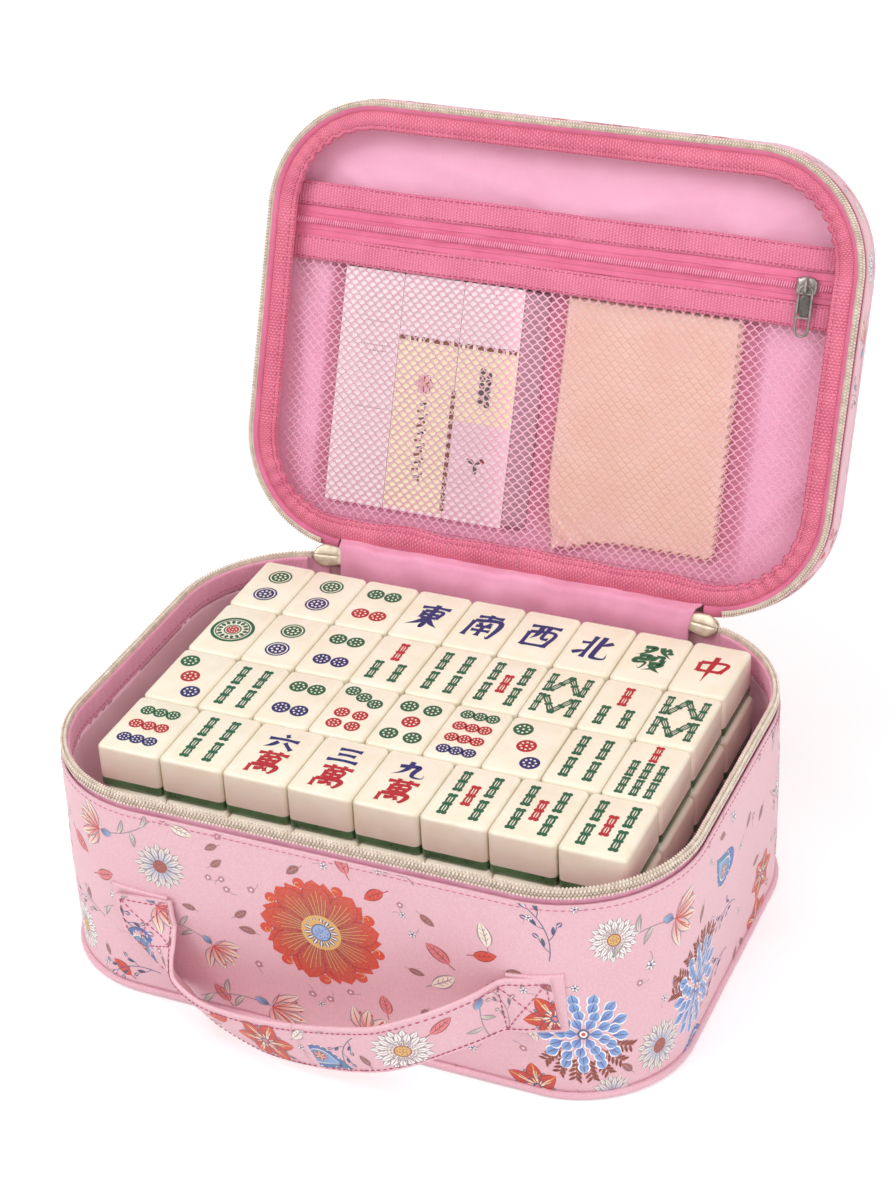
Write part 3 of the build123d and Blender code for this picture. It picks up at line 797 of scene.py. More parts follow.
def feather_bloom():
    """The blue bloom: rows of small overlapping petals like feathers, and orange sprigs round it."""
    art = Print()
    for k in range(7):
        angle = 0.55 + k * 0.34
        stem = art.curl(polar(0.010, angle), angle, 0.014, 0.3, 0.0005, RUST, 0)
        for n in range(3, 13, 2):
            for side in (-1, 1):
                art.petal(stem[n], angle + side * 0.8, 0.0042, 0.0014, ORANGE, RUST, RUST, 1, steps=5)
    rows = (13, 0.0125, 0.0075), (11, 0.0092, 0.0070), (9, 0.0058, 0.0064), (6, 0.0024, 0.0058)
    for row, (count, reach, size) in enumerate(rows):
        angles, colours = around(count, row * 0.3), (BLUE, PALE_BLUE, WHITE)
        art.fan(angles, size, 0.0056, colours, 2 + 2 * row, reach, step=1, vein=SLATE, full=1.4)
    art.disc((0, 0), 0.0026, SLATE, 10)
    art.disc((0, 0), 0.0017, WHITE, 11)
    art.disc((0, 0), 0.0009, ORANGE, 12)
    return art


def daisy(petals=15, inner=WHITE, outer=CREAM, eye=GOLD):
    """A daisy: narrow pale petals outlined in grey, in two rows, round a button of seeds."""
    art = Print()
    for row, length in enumerate((0.0128, 0.0108)):
        angles = around(petals, row * pi / petals)
        art.fan(angles, length, 0.0040, (outer, inner, GREY), row, vein=GREY, full=1.5, bend=0.05)
    art.disc((0, 0), 0.0036, RUST, 2)
    art.disc((0, 0), 0.0030, eye, 3)
    art.seeds(11, 0.00072, 0.00034, (RUST,), 4)
    return art


def lily():
    """A cream lily on a long stem: five open petals streaked with rust, three leaves on the stem and
    four orange stamens."""
    art = Print()
    stem = art.curl((0, 0), -2.2, 0.032, 0.9, 0.0005, GREY, 0, steps=20)
    for n, side in ((7, 1), (11, -1), (15, 1)):
        art.petal(stem[n], side - 2.2, 0.0080, 0.0028, CREAM, SAGE, GREY, 1, vein=GREY, bend=side * 0.3)
    for k, (angle, bend) in enumerate(((-0.35, 0.3), (0.35, 0.14), (0.95, 0), (1.6, -0.14), (2.2, -0.3))):
        art.petal((0, 0), angle, 0.0145, 0.0056, ROSE, CREAM, GREY, 2 + k % 2, vein=RUST, bend=bend, full=1.1)
        art.curl((0, 0), angle + 0.1, 0.0090, 0.25, 0.0003, BRICK, 4)
    for angle in (0.4, 0.8, 1.2, 1.6):
        line = art.curl((0, 0), angle, 0.012, 0.3, 0.0003, ORANGE, 5)
        art.disc(line[-1], 0.0006, ORANGE, 5, points=8)
    art.petal((-0.001, -0.001), -2.3, 0.0062, 0.0042, SLATE, PALE_BLUE, GREY, 6)
    return art


def sprig(colour=GREY, bud=ROSE):
    """A fine branching sprig with small leaves and closed buds."""
    art = Print()
    stem = art.curl((0, 0), 0.4, 0.026, 1.1, 0.0004, colour, 0, steps=20)
    for n, side in ((3, 1), (7, -1), (11, 1), (15, -1)):
        heading = 0.4 + 1.1 * n / 20 + side * 0.9
        twig = art.curl(stem[n], heading, 0.0075, -side * 0.6, 0.0003, colour, 0, steps=8)
        art.petal(twig[-1], heading, 0.0030, 0.0019, WHITE, bud, colour, 1, steps=6)
        art.petal(twig[3], heading - side * 0.7, 0.0042, 0.0015, SAGE, CREAM, colour, 1, steps=6)
    art.petal(stem[-1], 1.4, 0.0042, 0.0026, WHITE, bud, colour, 2, steps=6)
    return art


def leaf(fill=ORANGE, edge=BRICK):
    """A single leaf with side veins."""
    art = Print()
    art.petal((-0.006, 0), 0, 0.0120, 0.0062, fill, fill, edge, 0, vein=edge, bend=0.12, full=0.9)
    for n in (0.25, 0.45, 0.65):
        for side in (-1, 1):
            start, length = (-0.006 + 0.012 * n, 0.0012 * n), 0.0026 - 0.001 * n
            art.curl(start, side * 0.8, length, 0.2, 0.0003, edge, 1, steps=5)
    art.curl((-0.006, 0), pi, 0.003, 0.4, 0.0005, edge, 1, steps=6)
    return art


def scroll_bloom():
    """A cream bloom of curling lobes, each with a grey spiral, over a fan of narrow petals."""
    art = Print()
    for k in range(9):
        angle, bend = -0.2 + k * (pi + 0.4) / 8, 0.1 * (4 - k) / 4
        art.petal((0, 0), angle, 0.0165, 0.0050, CREAM, WHITE, GREY, k % 2, vein=SAGE, full=1.2, bend=bend)
    for k in range(6):
        angle, side = -0.25 + k * (pi + 0.5) / 5, 1 if k > 2 else -1
        root = polar(0.008, angle)
        art.petal(root, angle, 0.0150, 0.0074, CREAM, WHITE, GREY, 2 + k % 2, full=1.7, bend=0.35 * side)
        art.curl(polar(0.0205, angle), angle, 0.0130, 5.2 * side, 0.0004, GREY, 4, steps=20)
    art.disc((0, 0.001), 0.0050, ROSE, 5, scallop=0.08)
    art.disc((0, 0.001), 0.0034, CREAM, 6)
    for k in range(7):
        art.disc((0.002 * cos(k), 0.001 + 0.002 * sin(k)), 0.0005, RUST, 7, points=6)
    return art


def drop_bloom():
    """A teal drop with a beaded edge and a small blossom inside."""
    art = Print()
    art.petal((-0.012, 0), 0, 0.0280, 0.0190, TEAL, BLUE, SLATE, 0, bend=0.28, full=1.6, steps=14)
    art.petal((-0.007, 0.0003), 0, 0.0190, 0.0120, PALE_BLUE, TEAL, CREAM, 1, bend=0.25, full=1.6, steps=12)
    for k in range(14):
        angle = -2.4 + k * 0.34
        art.disc((0.003 + 0.0098 * cos(angle), 0.0012 + 0.0078 * sin(angle)), 0.0006, CREAM, 2, points=8)
    art.fan(around(6), 0.0036, 0.0024, (CREAM, ROSE, BRICK), 3, middle=(0.004, 0.001), steps=6)
    art.disc((0.004, 0.001), 0.0009, GOLD, 4, points=8)
    return art


def tiny_bloom(colour=WHITE, eye=SLATE):
    """A five-petalled speck of a flower on a short curled stem."""
    art = Print()
    art.curl((0, 0), -1.2, 0.0085, 1.3, 0.00035, GREY, 0, steps=8)
    art.fan(around(5), 0.0030, 0.0024, (colour, colour, GREY), 1, full=1.3, steps=6)
    art.disc((0, 0), 0.0009, eye, 2, points=8)
    return art


scroll, star, stemmed, plain_leaf = (scroll_bloom(), 0.021), (star_bloom(), 0.0145), (lily(), 0.0165), leaf()
LARGE = [(large_bloom(), 0.029), scroll, (feather_bloom(), 0.020), (large_bloom(), 0.027), scroll]
MIDDLE = [star, (daisy(), 0.0135), stemmed, (drop_bloom(), 0.015), star, stemmed,
          (daisy(13, CREAM, PALE_BLUE, RUST), 0.0135)]
SMALL = [(sprig(), 0.011), (plain_leaf, 0.0068), (sprig(SLATE, ROSE), 0.011), (leaf(CREAM, GREY), 0.0068),
         (tiny_bloom(), 0.005), (leaf(ROSE, RUST), 0.0068)]
TINY = [(tiny_bloom(), 0.0042), (tiny_bloom(ROSE, WHITE), 0.0042), (leaf(RUST, GREY), 0.0042)]


def scatter(wide, high, seed, counts=(10, 28, 66, 150), round_about=False):
    """Flowers thrown onto a stretch of cloth, the large ones first. A throw is kept where it clears
    what lies there, by the radius of each; on a band round the case the ends meet."""
    dice = np.random.default_rng(seed)
    cloth, laid = Print(), np.zeros((0, 3))
    for kinds, count, close in zip((LARGE, MIDDLE, SMALL, TINY), counts, (0.94, 0.90, 0.86, 1.0)):
        kept = 0
        for _ in range(count * 60):
            art, reach = kinds[kept % len(kinds)]
            size = dice.uniform(0.9, 1.15) * (0.62 if kinds is TINY else 1)
            x, y, turn = dice.uniform(0, wide), dice.uniform(-0.004, high + 0.004), dice.uniform(0, 2 * pi)
            gap = np.abs(laid[:, 0] - x)
            gap = np.minimum(gap, wide - gap) if round_about else gap
            if kept < count and np.all(np.hypot(gap, laid[:, 1] - y) > close * (laid[:, 2] + reach * size)):
                cloth.stamp(art, (x, y), turn, size)
                laid = np.vstack([laid, (x, y, reach * size)])
                kept += 1
    return cloth


INK_LIFT, INK_STEP = 0.00006, 0.000012


def lay_print(name, cloth, surface, low, high, body):
    """Carries a print onto a surface. What would pass the low and high edges is pressed onto them,
    and the faces that are left with no width go, so the flowers are cut off along a clean line."""
    u, v = np.clip(np.concatenate(cloth.points), low, high).T
    quads = np.concatenate(cloth.quads)
    a, b = u[quads], v[quads]
    area = np.abs((a[:, 2] - a[:, 0]) * (b[:, 3] - b[:, 1]) - (a[:, 3] - a[:, 1]) * (b[:, 2] - b[:, 0]))
    keep = area > 2e-10
    points = surface(u, v, INK_LIFT + INK_STEP * np.concatenate(cloth.levels))
    used, index = np.unique(quads[keep], return_inverse=True)
    colours = np.concatenate(cloth.colours)[keep]
    return mesh_piece(name, points[used], index.reshape(-1, 4), printed_motifs, body, colours=colours)


wall_print = scatter(ROUND, 0.104, 11, round_about=True)
lay_print("base_wall_print", wall_print, base_wall, (-1, 0.0038), (2, 0.1054), "base")


# ---------------------------------------------------------------- carrying handle
# The handle is a strip of leatherette folded over webbing and sewn along both edges. It hangs from
# two patches sewn to the front with a crossed box of stitches, and droops and twists at its left end.

HANDLE_LINE = np.array([
    (-88.5, -115.0, 61.0), (-87.6, -115.6, 52.0), (-85.0, -116.4, 42.0), (-79.5, -118.5, 31.0),
    (-71.0, -122.0, 22.5), (-59.0, -127.5, 17.8), (-44.0, -133.0, 17.0), (-20.5, -139.0, 19.3),
    (6.4, -143.0, 25.0), (29.9, -145.0, 32.0), (45.0, -144.2, 37.5), (62.0, -139.0, 44.8),
    (76.6, -128.0, 49.0), (86.0, -117.4, 50.8), (97.0, -115.0, 52.8), (109.0, -112.2, 54.8),
]) / 1000
HANDLE_LEAN = np.radians([0, 0, 10, 22, 34, 34, 30, 20, 14, 12, 12, 10, 6, 0, 0, 0])


def smooth_line(points, count):
    """A line through all of the points: between two of them it is the Catmull-Rom cubic of the four
    nearest, sampled evenly in each span."""
    points = np.asarray(points, float).reshape(len(points), -1)
    padded = np.concatenate([2 * points[:1] - points[1:2], points, 2 * points[-1:] - points[-2:-1]])
    place = np.linspace(0, len(points) - 1, count)
    k = np.minimum(place.astype(int), len(points) - 2)
    s = (place - k)[:, None]
    a, b, c, d = (padded[k + n] for n in range(4))
    return 0.5 * (2 * b + (c - a) * s + (2 * a - 5 * b + 4 * c - d) * s**2 + (3 * b - a - 3 * c + d) * s**3)


STEPS = 221
handle_middle = smooth_line(HANDLE_LINE, STEPS)
handle_along = unit(np.gradient(handle_middle, axis=0))
lean = smooth_line(HANDLE_LEAN, STEPS)[:, 0]
upright = grid(0.0, -np.sin(lean), np.cos(lean))
hanging = np.clip((4.2 - np.linspace(0, 15, STEPS)) / 2.6, 0, 1)[:, None] ** 1.5
handle_out = unit(np.cross(handle_along, upright)) * (1 - hanging) + np.array([0.0, -1.0, 0.0]) * hanging
handle_out = unit(handle_out - handle_along * np.sum(handle_out * handle_along, -1, keepdims=True))
handle_up = np.cross(handle_out, handle_along)
handle_run = run_of(handle_middle)
handle_length = handle_run[-1]
HANDLE_WIDE, HANDLE_THICK, HANDLE_CROWN = 0.0288, 0.0026, 0.0004


def on_handle(run, up, lift):
    """A point on the strap's outer face: a place along it and one across it, crowned in the middle."""
    spot, across, out = (
        np.stack([np.interp(run, handle_run, known[:, k]) for k in range(3)], -1)
        for known in (handle_middle, handle_up, handle_out)
    )
    height = HANDLE_THICK / 2 + HANDLE_CROWN * (1 - (2 * up / HANDLE_WIDE) ** 2) + lift
    return spot + across * up[..., None] + out * height[..., None]


def strap_half(name, first, last, start, end):
    """Half of the strap: a flattened ring of points carried along the handle's line. The start and end spots
    that it is given are not used."""
    turn = np.linspace(0, 2 * pi, 40, endpoint=False)
    power = np.sign(np.cos(turn)) * np.abs(np.cos(turn)) ** 0.28
    side = HANDLE_WIDE / 2 * np.sign(np.sin(turn)) * np.abs(np.sin(turn)) ** 0.75
    thick = HANDLE_THICK / 2 * power
    thick = np.where(np.cos(turn) > 0, thick + HANDLE_CROWN * (1 - (2 * side / HANDLE_WIDE) ** 2), thick)
    middle, up, out = (known[first:last, None, :] for known in (handle_middle, handle_up, handle_out))
    points = middle + up * side[:, None] + out * thick[:, None]
    count = last - first
    quads = quads_of(count, 40, close_columns=True)
    half = np.arange(19)
    near = np.stack([half, half + 1, 38 - half, 39 - half], -1)
    quads = np.concatenate([quads, near, near[:, ::-1] + (count - 1) * 40])
    piece = mesh_piece(name, points, quads, printed_pink, node="handle_strap")
    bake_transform(piece)


LEFT_BEND = ((-0.0845, -0.1165, 0.0400), (-0.0590, -0.1270, 0.0170))
RIGHT_BEND = ((0.0855, -0.1176, 0.0507), (0.0740, -0.1310, 0.0480))
strap_half("handle_left_half", 0, 116, *LEFT_BEND)
strap_half("handle_right_half", 115, STEPS, *RIGHT_BEND)
MEETING = handle_length * 0.52


def strap_stitches(name, lines):
    """Stitches along straight lines drawn on the strap, each line from one (run, up) to another."""
    blocks = []
    for start, end in np.array(lines):
        length = np.hypot(*(end - start))
        share = (np.arange(max(2, int(length / 0.0029))) + 0.5)[:, None]
        run, up = (start + (end - start) * share / len(share)).T
        next_run, next_up = run + (end - start)[0] * 0.0004 / length, up + (end - start)[1] * 0.0004 / length
        spots = on_handle(run, up, 0.0001)
        along = unit(on_handle(next_run, next_up, 0.0001) - spots)
        out = unit(spots - on_handle(run, up, -0.001))
        blocks.append(repeat(*bead(0.0022, 0.00065, 0.0005), spots, along, np.cross(out, along), out))
    return mesh_piece(name, *joined(blocks), deep_thread, slot="printed_leatherette")


EDGE, HEM = HANDLE_WIDE / 2 - 0.0024, 0.0016
sides = (
    ("left", 5, 0.0, MEETING, (0.0022, 0.0250), LEFT_BEND),
    ("right", 8, MEETING, handle_length, (handle_length - 0.0022, handle_length - 0.0240), RIGHT_BEND),
)
for side, seed, low, high, (near, far), (start, end) in sides:
    corners = (near, -EDGE), (near, EDGE), (far, -EDGE), (far, EDGE)
    box = [(corners[a], corners[b]) for a, b in ((0, 1), (2, 3), (0, 3), (1, 2))]
    edges = [((low + 0.002, edge), (high - 0.002, edge)) for edge in (-EDGE, EDGE)]
    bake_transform(strap_stitches(f"handle_{side}_stitches", box + edges))
    flowers = lay_print(
        f"handle_{side}_print", scatter(high - low, HANDLE_WIDE, seed, counts=(0, 4, 9, 14)),
        lambda u, v, lift, low=low: on_handle(u + low, v - HANDLE_WIDE / 2, lift),
        (0.0, HEM), (high - low, HANDLE_WIDE - HEM), None,
    )
    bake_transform(flowers)


# ---------------------------------------------------------------- handle patches
# Each end of the strap is folded back on itself and sewn flat to the wall with a box and a cross of
# stitches. The fold shows under the strap as a thin step along its edges.


def wall_run(x):
    """The distance round the case of a point on its front face."""
    return ROUND / 2 + x


def patch(name, node, left, right, low, high, slope):
    """A sewn fold: a panel over the wall that rises along the case by its slope and falls to the wall
    in a rounded edge, the fall being a circle's over the way in from the nearest side."""
    u, v = np.meshgrid(np.linspace(0, 1, 61), np.linspace(0, 1, 41), indexing="ij")
    wide, tall = right - left, high - low
    rim = np.minimum.reduce([u * wide, (1 - u) * wide, v * tall, (1 - v) * tall])
    edge = np.clip(rim / 0.0009, 0, 1)
    lift = 0.0001 + 0.0011 * np.sqrt(1 - (1 - edge) ** 2)
    points = base_wall(wall_run(left + wide * u), low + tall * v + slope * wide * (u - 0.5), lift)
    mesh_piece(name, points, quads_of(61, 41), printed_pink, "base", node, 0.0003)


patch("handle_left_fold", "handle_patch_left", -0.1036, -0.0738, 0.0350, 0.0628, 0.0)
patch("handle_right_fold", "handle_patch_right", 0.0830, 0.1104, 0.0372, 0.0688, 0.17)


# ---------------------------------------------------------------- tile blocks
# A tile is two plastic blocks bonded face to face: a thick ivory one that carries the picture and a
# thin green back. Both are tumbled, so their outer edges are round and the joint between is crisp.

TILE = (0.0280, 0.0430)
FRONT_TILE = (0.03155, 0.0430)
ACROSS, FRONT_ACROSS, DEEP = 0.0284, 0.03195, 0.0434
STACK = (0.0032, 0.0028)
LAYER_DRIFT = (0.0022, -0.0026)
FACE_HIGH, BACK_HIGH, LAYER_HIGH, TOP_BACK = 0.0174, 0.0047, 0.0224, 0.0932


def ring_stack(wide, long, corner, levels, per_corner=5):
    """A tumbled block: rounded rectangles at a list of heights and insets, closed at both ends by
    strips of faces from side to side."""
    turn = (np.arange(4)[:, None] + np.linspace(0, 1, per_corner)[None, :]) * pi / 2
    side = np.array([(1, 1), (-1, 1), (-1, -1), (1, -1)])
    rings = []
    for height, inset in levels:
        round_off = max(corner - inset, 0.0002)
        middle = side * (np.array([wide, long]) / 2 - inset - round_off)
        x = middle[:, None, 0] + round_off * np.cos(turn)
        y = middle[:, None, 1] + round_off * np.sin(turn)
        rings.append(grid(x.ravel(), y.ravel(), height))
    count = 4 * per_corner
    faces = quads_of(len(levels), count, close_columns=True)[:, ::-1]
    half = np.arange(count // 2 - 1)
    cap = np.stack([half, half + 1, count - 2 - half, count - 1 - half], -1)
    top = cap + (len(levels) - 1) * count
    return np.concatenate(rings), np.concatenate([faces, cap[:, ::-1], top])


def rounded_levels(low, high, round_low, round_high):
    """Heights and insets of a block's rings: a quarter circle at an end with a radius, a fine
    scratch of a chamfer at an end without one."""
    turn = np.linspace(0, pi / 2, 4)
    foot = [(low + round_low * (1 - sin(a)), round_low * (1 - cos(a))) for a in turn[::-1]]
    head = [(high - round_high * (1 - sin(a)), round_high * (1 - cos(a))) for a in turn]
    return foot + head


def ivory_plastic(name):
    """Warm ivory plastic with a polished skin: light sinks in a little, and faint clouds and fine
    tumbling marks vary its tone and gloss."""
    finish = Finish(
        name, name, Roughness=0.26, Specular_IOR_Level=0.5, Coat_Weight=0.25, Coat_Roughness=0.12,
        Subsurface_Weight=0.12, Subsurface_Scale=0.004,
    )
    finish.surface.inputs["Subsurface Radius"].default_value = (1.0, 0.75, 0.5)
    where = finish.place()
    cloud = finish.noise(where, 0.012)
    marks = finish.noise(where, 0.0016, 4.0, 0.7)
    shade = finish.mix(cloud.between(0.3, 0.7), srgb(238, 227, 203), srgb(244, 236, 217))
    return finish.finished(shade, marks * 0.08 + 0.22, marks, 0.00002, 0.08)


def green_plastic(name):
    """Jade green plastic with darker swirls and the same polish."""
    finish = Finish(name, name, Roughness=0.3, Specular_IOR_Level=0.5, Coat_Weight=0.2, Coat_Roughness=0.15)
    where = finish.place()
    swirl = finish.noise(where, 0.008, 4.0)
    shade = finish.mix(swirl.between(0.35, 0.65), srgb(54, 92, 52), srgb(76, 118, 72))
    return finish.finished(shade, swirl * 0.2 + 0.2, finish.noise(where, 0.002), 0.00005, 0.35)


tile_ivory = ivory_plastic("tile_ivory")
tile_green = green_plastic("tile_green")
tile_dice = np.random.default_rng(4)


def row_spots(row, layer):
    """Middles of the tiles of one row, left to right, with the hair's breadth each lies out of line."""
    columns, pitch = (8, FRONT_ACROSS) if row == 3 else (9, ACROSS)
    drift = np.array(LAYER_DRIFT) * (layer % 2) + np.array(STACK)
    x = (np.arange(columns) - (columns - 1) / 2) * pitch + drift[0]
    y = np.full(columns, (3 - 2 * row) / 2 * DEEP + drift[1])
    loose = tile_dice.uniform(-0.00012, 0.00012, (columns, 2))
    return np.stack([x, y], -1) + loose, tile_dice.uniform(-0.004, 0.004, columns)


def tile_row(row, layer):
    """The ivory and green blocks of one row, each tile turned a touch by its own angle."""
    spots, turns = row_spots(row, layer)
    wide, long = FRONT_TILE if row == 3 else TILE
    foot = TOP_BACK - layer * LAYER_HIGH
    along = grid(np.cos(turns), np.sin(turns), 0.0)
    across = grid(-np.sin(turns), np.cos(turns), 0.0)
    at = grid(*spots.T, foot)
    out = (0.0, 0.0, 1.0)
    low = BACK_HIGH + 0.0001
    face = ring_stack(wide, long, 0.0030, rounded_levels(low, low + FACE_HIGH, 0.0001, 0.0019), 6)
    back = ring_stack(wide, long, 0.0030, rounded_levels(0, BACK_HIGH, 0.0014, 0.0001), 6)
    faces, backs = (repeat(*form, at, along, across, out) for form in (face, back))
    return faces, backs, (spots, turns, foot + low + FACE_HIGH)


def tile_blocks(name, faces, backs, body, nodes):
    """The ivory and the green blocks of one row or layer, as two pieces."""
    mesh_piece(f"{name}_ivory", *faces, tile_ivory, body, f"{nodes}_faces")
    mesh_piece(f"{name}_green", *backs, tile_green, body, f"{nodes}_backs")


top_places, lower_places = [], []
for row in range(4):
    faces, backs, places = tile_row(row, 0)
    top_places.append(places)
    tile_blocks(f"top_tiles_{row + 1}", faces, backs, "top_layer", f"top_row_{row + 1}")
for layer in (1, 2, 3):
    faces, backs, places = zip(*(tile_row(row, layer) for row in range(4)))
    lower_places.append(places)
    body = f"layer_{layer + 1}"
    tile_blocks(body, joined(faces), joined(backs), body, body)


# ---------------------------------------------------------------- engraved pictures on the tiles
# The common pictures of the game: rings for the dots, jointed sticks for the bamboos, numbers and
# winds in brush strokes. They are cut into the ivory and filled with green, red and blue enamel.

LEAF_GREEN, SEAL_RED, INK_BLUE = srgb(26, 92, 60), srgb(178, 34, 44), srgb(36, 38, 104)
IVORY = srgb(241, 231, 211)


def enamel(name):
    """Enamel in the cuts: a satin paint with tiny brush marks, in the colour of each stroke."""
    finish = Finish(name, "tile_ivory", Roughness=0.4, Specular_IOR_Level=0.4)
    where = finish.place()
    streak = finish.noise(where, 0.0007, 3.0)
    shade = finish.mix(streak.between(0.55, 0.8) * 0.1, finish.tint(), srgb(236, 226, 206))
    return finish.finished(shade, streak * 0.25 + 0.3, streak, 0.00004, 0.5)


def dot(art, x, y, radius, colour):
    """One ring of the dots suit: a full disc in which eight seeds and a middle are left ivory; a large
    one has an ivory line inside its rim as well."""
    large = radius > 0.0055
    art.disc((x, y), radius, colour, 0, points=28)
    if large:
        art.disc((x, y), radius * 0.85, IVORY, 1, hole=radius * 0.75, points=28)
    for k in range(8):
        seed = np.array([x, y]) + polar(radius * (0.44 if large else 0.58), k * pi / 4 + 0.2)
        art.disc(seed, radius * (0.11 if large else 0.125), IVORY, 2, points=8)
    art.disc((x, y), radius * 0.13, IVORY, 2, points=8)


def stick(art, x, y, colour, long=0.0138, wide=0.0046, turn=0.0, level=0.0):
    """One jointed stick of the bamboo suit: two long oval loops, each with a line down its middle,
    and round knobs at the joint and at both ends."""
    s = np.linspace(0, 1, 21)
    swell = np.abs(np.sin(2 * pi * s)) ** 0.7
    half = wide * (0.20 + 0.24 * swell)
    slot = wide * 0.25 * np.clip(swell - 0.30, 0, 1) ** 0.6
    line = np.minimum(slot * 0.5, wide * 0.07)
    across = np.stack([-half, -slot, -line, line, slot, half], -1)
    along = (s[:, None] - 0.5) * long
    faces = quads_of(21, 6).reshape(20, 5, 4)[:, (0, 2, 4), :].reshape(-1, 4)
    art.add(rotated(grid(across, along), turn, (x, y)).reshape(-1, 2), faces, colour, level)
    for end in (-0.47, 0, 0.47):
        for k, side in enumerate((-0.24, 0.24)):
            knob = rotated(np.array([side * wide, end * long]), turn, (x, y))
            art.disc(knob, wide * 0.29, colour, level + 0.2 + 0.2 * k, points=10)


STROKES = {
    "six": "46,99 56,80|2,60 50,66 98,63|38,46 26,22 6,2<|60,46 76,26 96,4",
    "three": "14,84 50,88 86,86|22,50 50,53 78,51|2,10 50,16 99,13",
    "nine": "36,99 38,62 26,28 2,4<|8,60 40,68 66,70 62,36 64,12 78,4 98,8 97,30<",
    "ten_thousand": "4,84 50,88 97,87|32,99 35,74|68,99 65,74|24,70 28,40|24,70 76,73 72,41|29,56 72,58"
    "|28,42 73,44|50,73 50,16|12,30 15,-4|12,30 88,34 85,4 74,8<|30,14 62,18<|60,24 68,8",
    "east": "8,82 50,87 93,86|24,68 27,38|24,68 78,71 73,39|29,54 73,56|28,40 73,42|50,99 51,4 42,10<"
    "|48,38 30,18 2,2<|52,38 72,18 98,4<",
    "south": "14,86 50,90 88,89|50,99 48,72|12,68 11,2|12,68 90,72 88,4 76,10<|33,62 40,50|66,64 58,50"
    "|27,46 73,48|23,28 78,30|50,47 50,6",
    "west": "6,90 50,94 95,93|14,66 18,8|14,66 88,70 83,9|18,12 83,14|39,92 40,58 28,36<|61,92 60,46 80,42",
    "north": "35,94 34,2|6,62 34,66|0,16 35,34<|92,76 62,56<|60,96 60,22 66,7 97,8 97,30<",
    "centre": "14,72 19,36|14,72 88,77 81,38|19,39 81,42|50,101 50,-4<",
    "fortune": "10,90 40,92 28,72 2,56<|16,80 27,72|58,98 70,78 99,58<|84,96 70,84<|94,84 80,74<"
    "|12,54 42,57 39,42 13,40 11,26 42,29 37,4 27,9<|60,58 57,44 48,34<|60,58 80,60 80,44 93,43"
    "|53,28 88,31 70,10 46,-2<|58,24 76,8 99,-4<",
}


BRUSH = 0.140


def character(art, name, x, y, wide, high, colour):
    """A number or wind in brush strokes: each stroke is a smooth line whose width swells where the
    brush is set down and lifted, and runs out to a point where it is flicked away."""
    for k, stroke in enumerate(STROKES[name].split("|")):
        flicked = stroke.endswith("<")
        corners = np.array([[float(c) for c in spot.split(",")] for spot in stroke.strip("<").split()])
        line = smooth_line(corners, 5 * len(corners) + 1) if len(corners) > 2 else np.linspace(*corners, 7)
        s = np.linspace(0, 1, len(line))
        swell = 0.34 * np.exp(-((s / 0.14) ** 2)) + 0.42 * np.exp(-(((1 - s) / 0.12) ** 2))
        width = wide * BRUSH * (0.86 + swell)
        if flicked:
            width = wide * 1.2 * BRUSH * np.clip((1 - s) / 0.55, 0.08, 1)
        ends = (line - 50) / 100 * np.array([wide, high]) + np.array([x, y])
        ends[:, 0] += 0.10 * (ends[:, 1] - y)
        art.ribbon(ends, width, colour, 0.15 * k)


